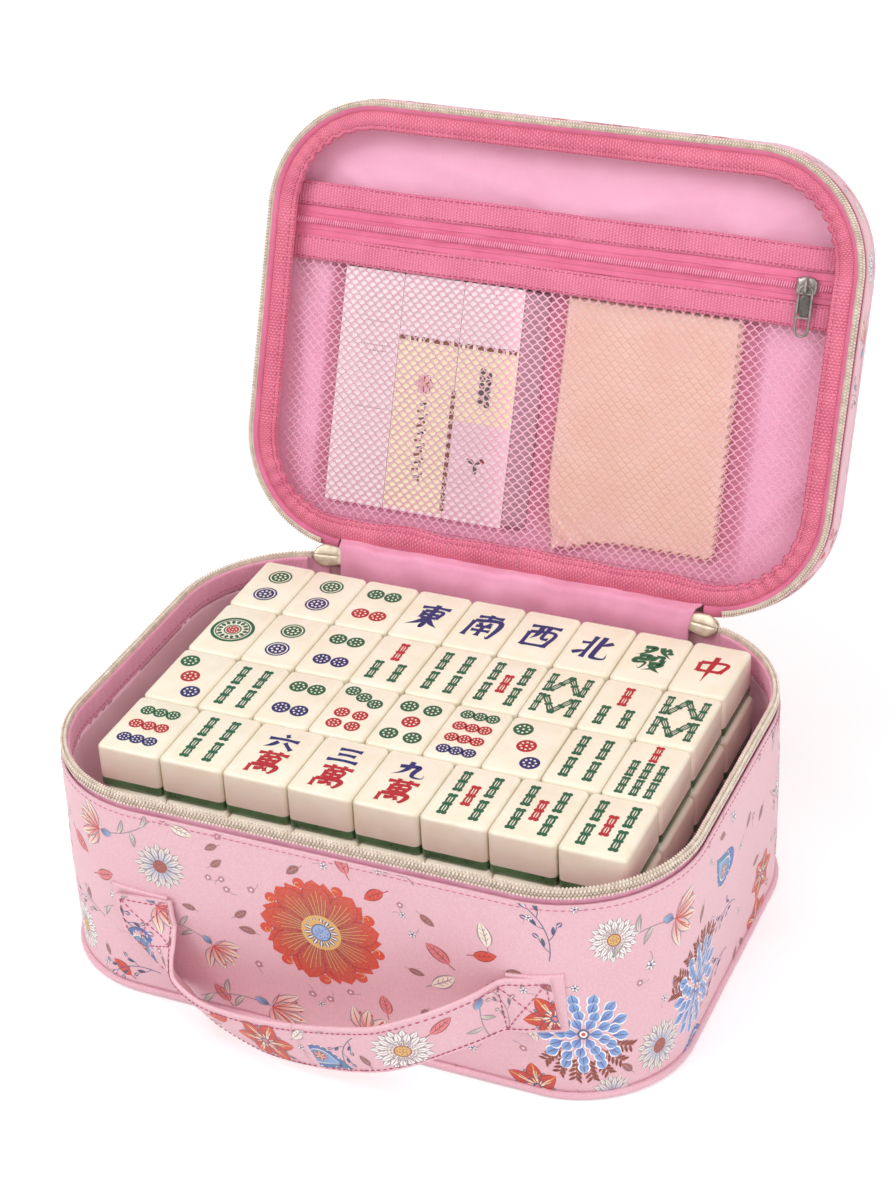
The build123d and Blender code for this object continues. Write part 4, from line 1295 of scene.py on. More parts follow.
def picture(kind):
    """The picture of one tile, by its name."""
    art, g, r, b = Print(), LEAF_GREEN, SEAL_RED, INK_BLUE
    if kind == "dot1":
        art.disc((0, 0), 0.0108, g, 0, hole=0.0092, points=40)
        art.disc((0, 0), 0.0086, g, 0, hole=0.0080, points=40)
        art.fan(around(16), 0.0028, 0.0018, (g, g, g), 0, 0.0052, steps=6)
        art.disc((0, 0), 0.0044, g, 0, hole=0.0037, points=28)
        dot(art, 0, 0, 0.0032, r)
    elif kind.startswith("dot"):
        near, far, wide, tall = 0.0046, 0.0092, 0.0058, 0.0115
        rows = {
            "dot2g": [(0, 0.0084, g), (0, -0.0084, b)],
            "dot3": [(-0.0062, 0.0118, g), (0, 0, r), (0.0062, -0.0118, b)],
            "dot4": [(-near, far, g), (near, far, g), (-near, -far, b), (near, -far, b)],
            "dot4r": [(-near, far, g), (near, far, g), (-near, -far, r), (near, -far, r)],
            "dot5": [(-wide, tall, g), (wide, tall, g), (0, 0, r), (-wide, -tall, g), (wide, -tall, g)],
            "dot7": [(-0.0070, 0.0142, g), (0, 0.0108, g), (0.0070, 0.0074, g)]
            + [(x, y, r) for x in (-near, near) for y in (-0.0035, -0.0125)],
            "dot9": [(x, y, c) for y, c in ((0.0112, g), (0, r), (-0.0112, b)) for x in (-0.0066, 0, 0.0066)],
            "dot12": [(x, y, c) for y, c in ((0.0142, g), (0.0047, r), (-0.0047, r), (-0.0142, b))
                      for x in (-0.0062, 0, 0.0062)],
        }[kind]
        size = {2: 0.0060, 3: 0.0047, 4: 0.0044, 5: 0.0044, 7: 0.0038, 9: 0.0035, 12: 0.0034}[len(rows)]
        for x, y, colour in rows:
            dot(art, x, y, size, colour)
    elif kind == "stick8":
        for flip in (1, -1):
            y = 0.0086 * flip
            for k, (x, turn) in enumerate(((-0.0086, 0), (-0.0031, -0.52), (0.0031, 0.52), (0.0086, 0))):
                stick(art, x, y, g, 0.0140, 0.0038, turn * flip, 0.6 * k)
    elif kind.startswith("stick"):
        rows = {
            "stick3": [(0, 0.0086, r), (-0.0058, -0.0086, g), (0.0058, -0.0086, g)],
            "stick4": [(x, y, g) for x in (-0.0056, 0.0056) for y in (0.0086, -0.0086)],
            "stick5": [(x, y, g) for x in (-0.0074, 0.0074) for y in (0.0088, -0.0088)] + [(0, 0, r)],
            "stick7": [(0, 0.0132, r)] + [(x, y, g) for x in (-0.0066, 0, 0.0066) for y in (0.0, -0.0132)],
        }[kind]
        for x, y, colour in rows:
            stick(art, x, y, colour, *((0.0112, 0.0040) if kind == "stick7" else (0.0138, 0.0046)))
    elif kind in ("six", "three", "nine"):
        character(art, kind, 0, 0.0092, 0.0150, 0.0118, b)
        character(art, "ten_thousand", 0, -0.0070, 0.0154, 0.0172, r)
    else:
        colour = {"centre": r, "fortune": g}.get(kind, b)
        character(art, kind, 0, 0, 0.0168, 0.0208, colour)
    return art


tile_enamel = enamel("tile_enamel")
PICTURES = [
    "dot2g dot2g dot4r east south west north fortune centre",
    "dot1 dot2g dot4 stick3 stick4 stick5 stick8 stick3 stick8",
    "dot3 stick4 dot4 dot7 dot5 dot12 dot3 stick4 stick7",
    "dot9 stick4 six three nine stick5 stick5 stick5",
]


def laid(name, art, finish, body, surface):
    """A whole print laid on a surface, which gives the points for its x, y and levels."""
    flat, levels = np.concatenate(art.points), np.concatenate(art.levels)
    points = surface(flat[:, 0], flat[:, 1], levels)
    mesh_piece(name, points, np.concatenate(art.quads), finish, body, colours=np.concatenate(art.colours))


def lay_pictures(name, rows, body):
    """Lays pictures on the tops of rows of tiles, each turned with its tile."""
    art = Print()
    for names, (spots, turns, top) in rows:
        for kind, spot, turn in zip(names, spots, turns):
            art.stamp(picture(kind), spot, turn)
    laid(name, art, tile_enamel, body, lambda x, y, level: grid(x, y, top + 0.00005 + 0.00002 * level))


for row, names in enumerate(PICTURES):
    lay_pictures(f"top_tiles_{row + 1}_pictures", [(names.split(), top_places[row])], "top_layer")
for layer, rows in enumerate(lower_places, 2):
    mixed = tile_dice.permutation(" ".join(PICTURES).split())
    named = [(mixed[9 * row:], place) for row, place in enumerate(rows)]
    lay_pictures(f"layer_{layer}_pictures", named, f"layer_{layer}")


# ---------------------------------------------------------------- hinge cloth
# The lid is hung on cloth: a strip of leatherette folds outside along the back edge, and a strip of
# lining bridges the gap inside. Both are sewn down on the base and on the lid, and bend between.

LID_TURN = radians(111.3)
LID_CASE = (0.308, 0.226, 0.058)
LID_ZIP_END = 0.1026
BACK = CASE[1] / 2


def in_lid(x, y, d):
    """The lid's own coordinates, d outwards from its closing plane, turned about the top back edge."""
    back = y - BACK
    along, up = back * cos(LID_TURN) + d * sin(LID_TURN), d * cos(LID_TURN) - back * sin(LID_TURN)
    return grid(x, BACK + along, RIM + up)


RIGHT = np.array([1.0, 0.0, 0.0])
FRONT = in_lid(0.0, 0.0, 0.0) - in_lid(0.0, 0.0, 1.0)
LID_UP = in_lid(0.0, -1.0, 0.0) - in_lid(0.0, 0.0, 0.0)


def hinge_strip(name, profile, half, finish, thick, node, ripple, flare=0.0):
    """A strip along the hinge: a smooth line through the profile's (y, z) spots, carried along x with
    low puckers that fade at the two sewn edges, and a turned hem at each end. Towards the lid it
    flares by a square of the way."""
    line = smooth_line(profile, 41)
    run = run_of(line)
    x = np.linspace(-half, half, 241)[:, None]
    pucker = np.sin(x * 210) + np.sin(x * 133 + 1.0) + 0.6 * np.sin(x * 391 + 2.0)
    fade = np.sin(pi * run / run[-1]) ** 2
    hem = 0.6 * ripple / (1 + np.exp(-(np.abs(x) - half + 0.0045) / 0.0003))
    lift = (ripple * pucker + hem) * fade
    out = x * (1 + flare / half * (run / run[-1]) ** 2)
    points = grid(out, line[:, 0] - 0.35 * lift, line[:, 1] + lift)
    quads = quads_of(241, 41)[:, ::-1]
    piece = mesh_piece(name, points, quads, finish, None, node, thick, spread=grid(x, run))
    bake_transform(piece)


def lid_spots(*spots):
    """The (y, z) of spots that are given as (y, d) in the lid's own coordinates."""
    return [tuple(in_lid(0.0, y, d)[1:]) for y, d in spots]


inner_profile = [
    (0.1086, 0.0985), (0.1088, 0.1040), (0.1096, 0.1088), (0.1113, 0.1127), (0.1135, 0.1157),
    *lid_spots((0.1092, 0.0036), (0.1060, 0.0052), (0.1020, 0.0066)),
]
# Painted shade: the hinge's lining is a deeper copy of the lining, for the shade that it lies in under the
# lid.
hinge_lining = lining_cloth("hinge_lining", srgb(236, 156, 188), srgb(220, 132, 164))

hinge_strip(
    "hinge_inner_cloth", inner_profile, 0.0925, hinge_lining, 0.0008,
    "hinge_lining", ripple=0.0008, flare=0.0065,
)
outer_profile = [
    (0.1126, 0.1040), (0.1132, 0.1062), (0.1134, 0.1100), (0.1133, 0.1128),
    *lid_spots((0.1132, 0.0022), (0.1133, 0.0050), (0.1131, 0.0078), (0.1124, 0.0092)),
]
hinge_strip(
    "hinge_outer_cloth", outer_profile, 0.0912, printed_pink, 0.0007,
    ("hinge_panel", "lid_hinge_strip"), ripple=0.0001,
)


# ---------------------------------------------------------------- lid shell
# The lid is a shallow tray like the base: a printed panel over board, a low printed wall and a
# corded seam between them.


def lid_wall(t, d, lift=0.0):
    """A point of the lid wall's outer face: the full outline with a faint belly over its depth."""
    turn = 2 * pi * t / ROUND
    belly = 0.0004 * np.sin(pi * np.clip((d - 0.0075) / 0.0115, 0, 1))
    x, y = inset_line(t, LID_CASE, -belly - 0.00012 * np.sin(4 * turn) * np.sin(9 * turn + 1) - lift)
    return in_lid(x, y, d)


LID_PANEL, PANEL_OUT, CROWN, BOW = (0.3030, 0.2210, 0.0550), 0.0216, 0.0016, 0.00018
LID_WALL, LID_BOARD_OUT = (0.0072, 0.0188), 0.0205


def lid_panel(x, y, lift=0.0):
    """A point of the lid's outer panel: crowned by one minus the product of fourth powers across it,
    with two long soft waves where the board bows."""
    width, depth, _ = LID_PANEL
    across, along = np.clip(np.abs(2 * x / width), 0, 1), np.clip(np.abs(2 * y / depth), 0, 1)
    middle = (1 - across**4) * (1 - along**4)
    wave = BOW * np.sin(21 * x + 1) * np.sin(29 * y)
    return in_lid(x, y, PANEL_OUT + (CROWN + wave) * middle + lift)


def kept_inside(art, box, corner):
    """Presses a print into a rounded rectangle: what lies past a corner's circle moves onto it."""
    flat = np.concatenate(art.points)
    past = np.maximum(np.abs(flat) - box, 0)
    reach = np.linalg.norm(past, axis=1, keepdims=True)
    pulled = np.minimum(np.abs(flat), box) + past * np.minimum(1, corner / np.maximum(reach, 1e-6))
    art.points = [np.sign(flat) * np.where(reach > corner, pulled, np.abs(flat))]


mesh_piece(
    "lid_wall_skin", lid_wall(np.linspace(0, ROUND, 421)[:-1, None], np.linspace(*LID_WALL, 12)),
    quads_of(420, 12, close_rows=True), printed_pink, "lid", "lid_side_wall", SKIN,
)
cord_seam("lid_cord", (0.3056, 0.2236, 0.0566), in_lid, 0.0203, "lid", "lid_piping")
domed_panel(
    "lid_panel_skin", LID_PANEL, lid_panel, 0.0, 0.00002, printed_pink, "lid",
    rings=40, node="lid_top_panel", thick=0.0010,
)
panel_art = Print()
panel_art.stamp(scatter(CASE[0], CASE[1], 23, counts=(9, 17, 42, 90)), (-CASE[0] / 2, -CASE[1] / 2))
kept_inside(panel_art, np.array([0.0965, 0.0555]), 0.0538)
lay_print("lid_panel_print", panel_art, lid_panel, (-0.1508, -0.1098), (0.1508, 0.1098), "lid")
lid_side_print = scatter(ROUND, 0.012, 31, counts=(0, 14, 26, 40), round_about=True)
lay_print(
    "lid_wall_print", lid_side_print, lambda u, v, lift: lid_wall(u, v + 0.0076, lift),
    (-1, 0.0), (2, 0.0108), "lid",
)
domed_panel(
    "lid_stiffener", (0.3000, 0.2180, 0.054), in_lid, LID_BOARD_OUT, 0.00001, grey_board, "lid",
    rings=6, node="lid_board", thick=0.0022,
)


# ---------------------------------------------------------------- lining of the lid
# The same pink cloth lines the lid. It is cut generously and sewn only at its edge, so it lies in
# soft shallow creases that run out from the corners.


LINING_DEPTH = 0.0172
CREASES = (
    (-0.128, -0.02, 1.2, 0.05, 0.005, 0.0013), (-0.130, 0.03, 1.45, 0.04, 0.005, 0.0014),
    (-0.09, 0.075, 0.5, 0.05, 0.005, 0.0010), (0.124, -0.005, -1.3, 0.05, 0.005, 0.0014),
    (0.121, 0.06, -0.9, 0.05, 0.005, 0.0013), (-0.06, -0.084, 0.15, 0.05, 0.005, 0.0013),
    (0.05, -0.080, -0.2, 0.06, 0.006, 0.0014), (0.11, -0.081, -0.7, 0.03, 0.005, 0.0014),
    (-0.115, -0.074, 0.7, 0.03, 0.005, 0.0015), (-0.02, -0.078, 0.9, 0.018, 0.004, 0.0009),
    (0.084, -0.070, 1.1, 0.016, 0.004, 0.0009),
)


def lid_lining_depth(x, y):
    """Depth of the lining's face: waves that slope across the lid and a few diagonal creases, each a
    narrow bell across its own slightly bowed line, with its place, angle, length, width and height."""
    depth = LINING_DEPTH - 0.00035 * np.sin(38 * x + 22 * y + 1) - 0.0003 * np.sin(61 * x - 44 * y)
    for across, up, angle, long, wide, high in CREASES:
        run = (x - across) * cos(angle) + (y - up) * sin(angle)
        off = (y - up) * cos(angle) - (x - across) * sin(angle) - 2.2 * run**2
        depth = depth - high * np.exp(-((run / long) ** 2) - (off / wide) ** 2)
    return depth


# Painted shade strips on the lid lining: at the left edge of the cards, in the gap between the cards and the
# cloth, and right of the cloth, where shade falls behind the net.
lid_lining = lining_cloth(
    "lid_lining_cloth", srgb(246, 178, 207), srgb(238, 162, 194), 0.0007,
    ((-0.1150, 0.0080), (-0.0010, 0.0150), (0.0975, 0.0120)), 0.42,
)
domed_panel(
    "lid_cloth", (0.2992, 0.2172, 0.0536), lambda x, y, d: in_lid(x, y, lid_lining_depth(x, y)),
    0.0, -0.00001, lid_lining, "lid", rings=90, node="lid_lining", thick=LINING,
)
side_profile = [(0.0046, 0.0174), (0.0046, 0.0140), (0.0045, 0.0105), (0.0046, 0.0070), (0.0052, 0.0046)]
profile_band(
    "lid_wall_cloth", LID_CASE, in_lid, side_profile, pink_lining, "lid",
    wrinkle=0.0001, node="lid_wall_lining", thick=-0.0006,
)
profile_band(
    "lid_wall_stiffener", LID_CASE, in_lid, [(BEHIND_SKIN, 0.0078), (BEHIND_SKIN, 0.0178)], grey_board, "lid",
    node="lid_wall_board", thick=WALL_BOARD,
)


# ---------------------------------------------------------------- zip and binding of the lid
# The lid's half of the zip leans inwards, so both rows of its teeth face the front. Behind it runs a
# fat binding: ribbed webbing rolled over the raw edges and sewn through with a double row, pulled
# tight at the top and slack along the hinge.

# Painted shade: the lid's half of the zip tape is a deeper pink than the base's, to give the shadow line
# between the zip and the binding.
lid_tape_painted_shade = knit("lid_tape_knit", srgb(226, 124, 158), srgb(210, 104, 140))
tape_line = [
    (0.0022, 0.0078), (0.0016, 0.0060), (0.0012, 0.0040), (0.0018, 0.0026),
    (0.0034, 0.0024), (0.0046, 0.0032), (0.0054, 0.0046),
]


def drawn(t):
    """How far the tape is drawn in beside the sliders, where the coil ends: a flat-topped bell."""
    return -0.0020 * np.exp(-(((np.minimum(t, ROUND - t) - 0.100) / 0.0125) ** 4))


profile_band(
    "lid_tape", LID_CASE, in_lid, tape_line, lid_tape_painted_shade, "lid", 0.0915,
    wrinkle=0.0001, puff=drawn, node="lid_zip_tape", thick=0.0007,
)
bed_line = [(0.0004, 0.0030), (0.0007, 0.0022), (0.0013, 0.0017), (0.0022, 0.0015), (0.0033, 0.0017)]
profile_band("lid_coil_bed", LID_CASE, in_lid, bed_line, coil_shade, "lid", LID_ZIP_END, thick=-0.0005)
lid_rows = [(0.0012, 0.0018, PAD_GRAIN, 0.25, 1.2), (0.0020, 0.0006, PAD_GRAIN, 0.25, 0.8)]
tooth_rows("lid_coil", LID_CASE, in_lid, lid_rows, "lid", "lid_zip_coil", 0.0014, LID_ZIP_END)


def slack(t):
    """How much further the binding stands out along the hinge: two bells either side of the middle of
    the back and a swell between them, fading at the corners."""
    x, side = np.minimum(t, ROUND - t), np.where(t < ROUND / 2, -1, 1)
    near = np.exp(-((x / 0.115) ** 4))
    return near * (0.0013 + 0.0007 * np.sin(x * 97 * side + 1) + 0.0006 * np.sin(x * 173 + 2 * side))


def corner_share(t):
    """Nearness to the middle of a rounded corner: a bell over each corner leg."""
    middles = np.cumsum(LEGS)[1::2] - QUARTER / 2
    return np.exp(-(((t[:, None] - middles) / 0.030) ** 2)).sum(1)


ROLL_HALF, ROLL_HIGH, ROLL_INSET, ROLL_DEPTH = 0.0053, 0.0028, 0.0099, 0.0052
GROOVE, ROLL_EDGE = 2.10, 2.75


def binding_point(t, turn, lift=0.0):
    """A point of the binding: a flattened roll with a stitched groove near its inner edge, a little
    narrower and gathered into folds round the corners, and slack along the hinge."""
    more, bent, round_about = slack(t), corner_share(t), 2 * pi * t / ROUND
    folds = np.sin(103 * round_about + 1.3 * np.sin(9 * round_about))
    sewn = np.exp(-(((turn - GROOVE) / 0.20) ** 2))
    wide = ROLL_HALF * (1 - 0.13 * bent) + more * 0.5
    high = ROLL_HIGH - 0.0011 * sewn + more * 0.8 + lift
    gathered = 0.0009 * bent * folds * (1 - np.cos(turn)) / 2
    inset = ROLL_INSET - 0.0006 * bent + more * 0.5 - wide * np.cos(turn) + gathered
    depth = ROLL_DEPTH - high * np.sin(turn) - 0.0004 * (0.3 + bent) * folds * np.clip(np.sin(turn), 0, 1)
    return in_lid(*inset_line(t, LID_CASE, inset), depth)


t_bind, turns = np.linspace(0, ROUND, 1401)[:-1], np.linspace(0, 2 * pi, 33)[:-1]
roll_points = np.stack([binding_point(t_bind, turn) for turn in turns], 1)
roll_quads = quads_of(1400, 32, close_rows=True, close_columns=True)
mesh_piece(
    "lid_binding_roll", roll_points, roll_quads, rose_webbing, "lid", "lid_binding",
    spread=grid(t_bind[:, None], turns * 0.0037),
)
t_bind = np.arange(0.002, ROUND, 0.0029)
for name, turn in (("groove", GROOVE), ("edge", ROLL_EDGE)):
    spots = binding_point(t_bind, turn, 0.0001)
    along = unit(np.gradient(spots, axis=0))
    frames = spots, along, np.cross(FRONT, along), FRONT
    size = (0.0021, 0.0007, 0.0006)
    stitches(f"lid_binding_{name}_stitches", frames, "lid", "rose_webbing", size, deep_thread)


# ---------------------------------------------------------------- pocket bands and zip tape
# The pocket's opening runs right across the lid: a webbing band above it and one below, and between
# them a pink zip. Each band is sewn along both edges, and its ends go under the binding.


UNDER_BINDING, STRIP_WAVE, BAND_THICK = 0.0075, 0.00025, 0.0010


def lid_half_width(y, inset):
    """Half the lid's width at a height, inside its rounded corners."""
    width, depth, corner = LID_CASE
    past = np.maximum(np.abs(y) - (depth / 2 - corner), 0)
    return width / 2 - corner + np.sqrt(np.maximum((corner - inset) ** 2 - past**2, 1e-9))


def lid_strip(name, low, high, depth, finish, node=(), rows=9, crown=0.0003):
    """A strip across the lid from side to side: crowned by a half sine over its width, and waving a
    little in height and depth along its length."""
    u = np.linspace(-1, 1, 301)[:, None]
    v = np.linspace(0, 1, rows)[None, :]
    y = low + (high - low) * v + STRIP_WAVE * np.sin(9 * u + 3 * low * 1000)
    x = u * lid_half_width(y, UNDER_BINDING)
    front = depth - (crown + 0.0003 * np.sin(7 * u + 1)) * np.sin(pi * v) - 0.00012 * np.sin(41 * u + 5 * v)
    quads = quads_of(301, rows)[:, ::-1]
    mesh_piece(name, in_lid(x, y, front), quads, finish, "lid", node, BAND_THICK, spread=grid(x, y))


band_webbing = webbing("pocket_webbing", srgb(228, 120, 152), srgb(216, 102, 138), 0.0016)
pocket_knit = knit("pocket_tape_knit", srgb(236, 128, 164), srgb(222, 106, 144), "pocket_tape")
lid_strip("pocket_band_upper", -0.0690, -0.0570, 0.0112, band_webbing, "pocket_upper_band")
lid_strip("pocket_band_lower", -0.0420, -0.0300, 0.0112, band_webbing, "pocket_lower_band")
lid_strip("pocket_tape", -0.0574, -0.0416, 0.0119, pocket_knit, "pocket_zip_tape", rows=25, crown=0.0)
x_stitch = np.arange(-0.142, 0.1425, 0.0031)
for name, y in (("a", -0.0677), ("b", -0.0583), ("c", -0.0407), ("d", -0.0313)):
    u = x_stitch / lid_half_width(y, UNDER_BINDING)
    spots = in_lid(x_stitch, y + STRIP_WAVE * np.sin(9 * u), 0.01105)
    frames = spots, RIGHT, LID_UP, FRONT
    stitches(f"pocket_stitches_{name}", frames, "lid", "rose_webbing", THICK_STITCH, deep_thread)
for name, y in (("upper", -0.0535), ("lower", -0.0455)):
    lid_strip(f"pocket_tape_ridge_{name}", y - 0.0006, y + 0.0006, 0.01185, pocket_knit, rows=5, crown=0.0005)


# ---------------------------------------------------------------- pocket zip
# A closed nylon coil of rose loops, each a small bar across the opening, with a bar of tight
# stitching at each end of the run.

rose_nylon = nylon("rose_nylon", srgb(244, 150, 184), srgb(232, 126, 164))
ZIP_LINE, COIL_FACE, TACK_FACE = -0.0495, 0.0110, 0.0107
x_coil = np.arange(-0.1445, 0.1446, 0.00125)
spots = in_lid(x_coil, ZIP_LINE + 0.0001 * np.sin(x_coil * 60), COIL_FACE)
lean = unit(LID_UP + 0.18 * RIGHT)
loops = repeat(*bead(0.0040, 0.0013, 0.0014), spots, lean, np.cross(FRONT, lean), FRONT)
mesh_piece("pocket_coil", *loops, rose_nylon, "lid", "pocket_zip_coil")
tack_rows = np.arange(-0.0036, 0.0037, 0.0006)
sway = 0.0002 * (-1.0) ** np.arange(len(tack_rows))
tack_spots = np.concatenate([in_lid(x + sway, ZIP_LINE + tack_rows, TACK_FACE) for x in (-0.1462, 0.1395)])
tacks = repeat(*bead(0.0034, 0.0007, 0.0007), tack_spots, RIGHT, LID_UP, FRONT)
mesh_piece("pocket_bar_tacks", *tacks, pink_thread, "lid", "pocket_zip_stops", slot="pocket_tape")


# ---------------------------------------------------------------- net
# Fine knotless net of pink nylon, stretched between the lower band and the binding. Every strand
# runs in waves and meets its neighbours at each crest, which leaves rounded diamond holes.

net_finish = Finish(
    "net_nylon", "net_mesh", Roughness=0.5, Specular_IOR_Level=0.4, Sheen_Weight=0.2, Sheen_Roughness=0.4
)
strand_tone = net_finish.noise(net_finish.place(), 0.01)
paler = net_finish.mix(strand_tone.between(0.3, 0.7) * 0.3, net_finish.tint(), srgb(240, 196, 212))
fibres = net_finish.noise(net_finish.place(), 0.0005)
net_finish.finished(paler, strand_tone * 0.2 + 0.4, fibres, 0.00005, 0.4)
CELL, NET_TOP, NET_FOOT = 0.0048, -0.0302, 0.1008
SWING = 0.225 * CELL


def held_off(x):
    """How much the net stands off the lining: fully over the cards and the cloth."""
    return np.exp(-(((x + 0.060) / 0.060) ** 6)) + np.exp(-(((x - 0.052) / 0.053) ** 8))


def net_depth(x, y):
    """Depth of the net: it drapes over the things behind it and dips between them."""
    over = held_off(x)
    middle = np.sin(pi * np.clip((y - NET_TOP) / (NET_FOOT - NET_TOP), 0, 1))
    return 0.0121 - 0.0006 * over * middle + 0.0002 * np.sin(60 * x) * middle


strands = np.arange(-0.146, 0.1461, CELL / 2)
steps = np.arange(NET_TOP, NET_FOOT, CELL / 12)
number = np.arange(len(strands))[:, None]
phase = np.sin(2 * pi * (steps - NET_TOP) / CELL)
x_net = strands[:, None] + (-1.0) ** number * SWING * np.sign(phase) * np.abs(phase) ** 0.7
slope = np.gradient(x_net, axis=1) / (CELL / 12)
side = (0.00018 + 0.00016 * held_off(x_net)) / np.sqrt(1 + slope**2)
x_edge = np.stack([x_net - side, x_net + side], -1)
y_edge = np.stack([steps + side * slope, steps - side * slope], -1)
crossing = 0.00006 * (-1.0) ** number[..., None] * np.cos(2 * pi * (y_edge - NET_TOP) / CELL)
net_points = in_lid(x_edge, y_edge, net_depth(x_edge, y_edge) - crossing).reshape(-1, 3)
net_flat = grid(x_edge, y_edge).reshape(-1, 2)
net_quads = (quads_of(len(steps), 2)[None] + (number * 2 * len(steps))[..., None]).reshape(-1, 4)
spot = net_flat[net_quads].mean(1)
within = np.abs(spot[:, 0]) < lid_half_width(spot[:, 1], 0.0085)
net_quads, spot = net_quads[within], spot[within]
kept, again = np.unique(net_quads, return_inverse=True)
# Painted light and shade on the strands, which are one pink nylon: dusty pink over the cards, warm with the
# cloth's colour over the cloth, paler in the gap between them as a painted highlight, and a deeper pink as
# painted shade where the net lies over the shaded lining.
strand_painted_shading = np.tile(srgb(238, 166, 196), (len(spot), 1))
for middle, half, tone in (
    (-0.068, 0.047, srgb(208, 160, 176)),
    (0.052, 0.046, srgb(220, 166, 154)),
    (-0.006, 0.012, srgb(246, 186, 206)),
):
    near = np.exp(-(((spot[:, :1] - middle) / half) ** 12) - ((spot[:, 1:] - 0.030) / 0.062) ** 12)
    strand_painted_shading = strand_painted_shading * (1 - near) + np.array(tone) * near
net = mesh_piece(
    "pocket_netting", net_points[kept], again.reshape(-1, 4), net_finish, "lid", "pocket_net",
    colours=strand_painted_shading,
)
corners = net_points[net_quads]
across = np.cross(corners[:, 2] - corners[:, 0], corners[:, 3] - corners[:, 1])
hem_spots = in_lid(np.arange(-0.120, 0.121, 0.0034), 0.0970, 0.0112)
stitches("net_foot_stitches", (hem_spots, RIGHT, LID_UP, FRONT), "lid", "net_mesh", (0.0024, 0.0006, 0.0005))


# ---------------------------------------------------------------- score cards
# Three stiff printed cards stand side by side in the pocket, and the sloped side of the box they came in
# shows at their right, its own mauve darkened as painted shade. They are pale pink with cream panels, dashed
# brown lines and small plain marks for keeping the score.


def card_stock(name):
    """Coated card: smooth, with the faintest fibre."""
    finish = Finish(name, name, Roughness=0.5, Specular_IOR_Level=0.4)
    fibre = finish.noise(finish.place(), 0.0012, 4.0)
    shade = finish.mix(fibre * 0.12, finish.tint(), WHITE)
    return finish.finished(shade, fibre * 0.2 + 0.42, fibre, 0.00003, 0.3)


card_finish = card_stock("card_stock")
CARD_PINK, CARD_ROSE, CARD_CREAM = srgb(251, 233, 238), srgb(249, 221, 231), srgb(255, 240, 208)
COCOA, CARD_SIDE_PAINTED_SHADE, DUSK = srgb(128, 74, 44), srgb(188, 138, 158), srgb(84, 70, 74)
CARD_WIDE, CARD_LONG, CARD_THICK = 0.0322, 0.1193, 0.0042
card_middles = np.array([-0.0959, -0.0634, -0.0309])
card_form = ring_stack(CARD_WIDE, CARD_LONG, 0.0008, rounded_levels(0, CARD_THICK, 0.0002, 0.0002), 3)
cards = repeat(*card_form, in_lid(card_middles, 0.03025, 0.0170), RIGHT, np.cross(FRONT, RIGHT), FRONT)
mesh_piece("score_card_blocks", *cards, card_finish, "lid", "score_cards", colours=CARD_PINK, smooth=False)
# Painted shade: the box's sloped side takes its mauve darkened for the shade on that face.
u, v = np.linspace(0, 1, 9)[:, None], np.linspace(0, 1, 41)
fall = 0.0131 + 0.0037 * u**1.6 - 0.0003 * np.sin(9 * v + 2) * u
slope = in_lid(-0.0147 + 0.0118 * u, -0.0290 + 0.1180 * v, fall)
mesh_piece("score_card_side", slope, quads_of(9, 41), card_finish, "lid", thick=0.0004, colours=CARD_SIDE_PAINTED_SHADE)


def block(art, x0, y0, x1, y1, colour, level):
    """A rectangle of one ink."""
    art.ribbon([(x0, (y0 + y1) / 2), (x1, (y0 + y1) / 2)], abs(y1 - y0), colour, level)


card_art = Print()
first, second, third = card_middles
INK_HALF, INK_TOP, INK_MIDDLE, INK_FOOT = 0.0160, -0.0020, -0.0400, -0.0886
ROSETTE, MARK_STEP = -0.0240, 0.0037
block(card_art, second - INK_HALF, INK_TOP, second + INK_HALF, INK_FOOT, CARD_CREAM, 0)
block(card_art, third - INK_HALF, INK_TOP, third + INK_HALF, INK_MIDDLE, CARD_CREAM, 0)
block(card_art, third - INK_HALF, INK_MIDDLE - 0.0002, third + INK_HALF, INK_FOOT, CARD_ROSE, 0)
for k in range(11):
    left = second - 0.0157 + k * 0.0059
    block(card_art, left, -0.0008, left + 0.0042, -0.0032, COCOA, 1)
for k in range(12):
    low = -0.0250 - k * 0.0052
    card_art.ribbon([(second + 0.01625, low), (second + 0.01625, low - 0.0040)], 0.0024, COCOA, 2)
for y, wide in ((0.0040, 0.012), (-0.0080, 0.016), (-0.0110, 0.010), (-0.0400, 0.014)):
    card_art.ribbon([(first + 0.004 - wide / 2, y), (first + 0.004 + wide / 2, y)], 0.0003, GREY, 1)
petals = (ROSE, CARD_ROSE, BRICK)
card_art.fan(around(6), 0.0056, 0.0038, petals, 1, middle=(second, ROSETTE), step=1, steps=6)
card_art.disc((second, ROSETTE), 0.0013, GOLD, 3, points=10)
for k in range(11):
    y, lean = -0.0345 - k * MARK_STEP, 0.0006 * (-1) ** k
    mark = [(second - 0.0019 + lean, y), (second + 0.0017 + lean, y + 0.0009)]
    card_art.ribbon(mark, 0.0013, (DUSK, COCOA)[k % 2], 1)
    card_art.disc((second + 0.0024 - lean, y - 0.0012), 0.0008, (COCOA, DUSK)[k % 2], 1, points=8)
for k in range(5):
    for side in (-0.0017, 0.0017):
        middle = (third + side, -0.0140 - k * MARK_STEP - side * 0.5)
        card_art.disc(middle, 0.0017, DUSK, 1 + k % 2, points=10)
blades = around(3, pi / 5)
card_art.fan(blades, 0.0052, 0.0022, (DUSK, DUSK, DUSK), 1, middle=(third - 0.0010, -0.0600), steps=6)
card_art.disc((third + 0.0030, -0.0585), 0.0012, SEAL_RED, 2, points=8)

laid(
    "score_card_print", card_art, card_finish, "lid",
    lambda x, y, level: in_lid(x, -y, 0.01275 - 0.00002 * level),
)


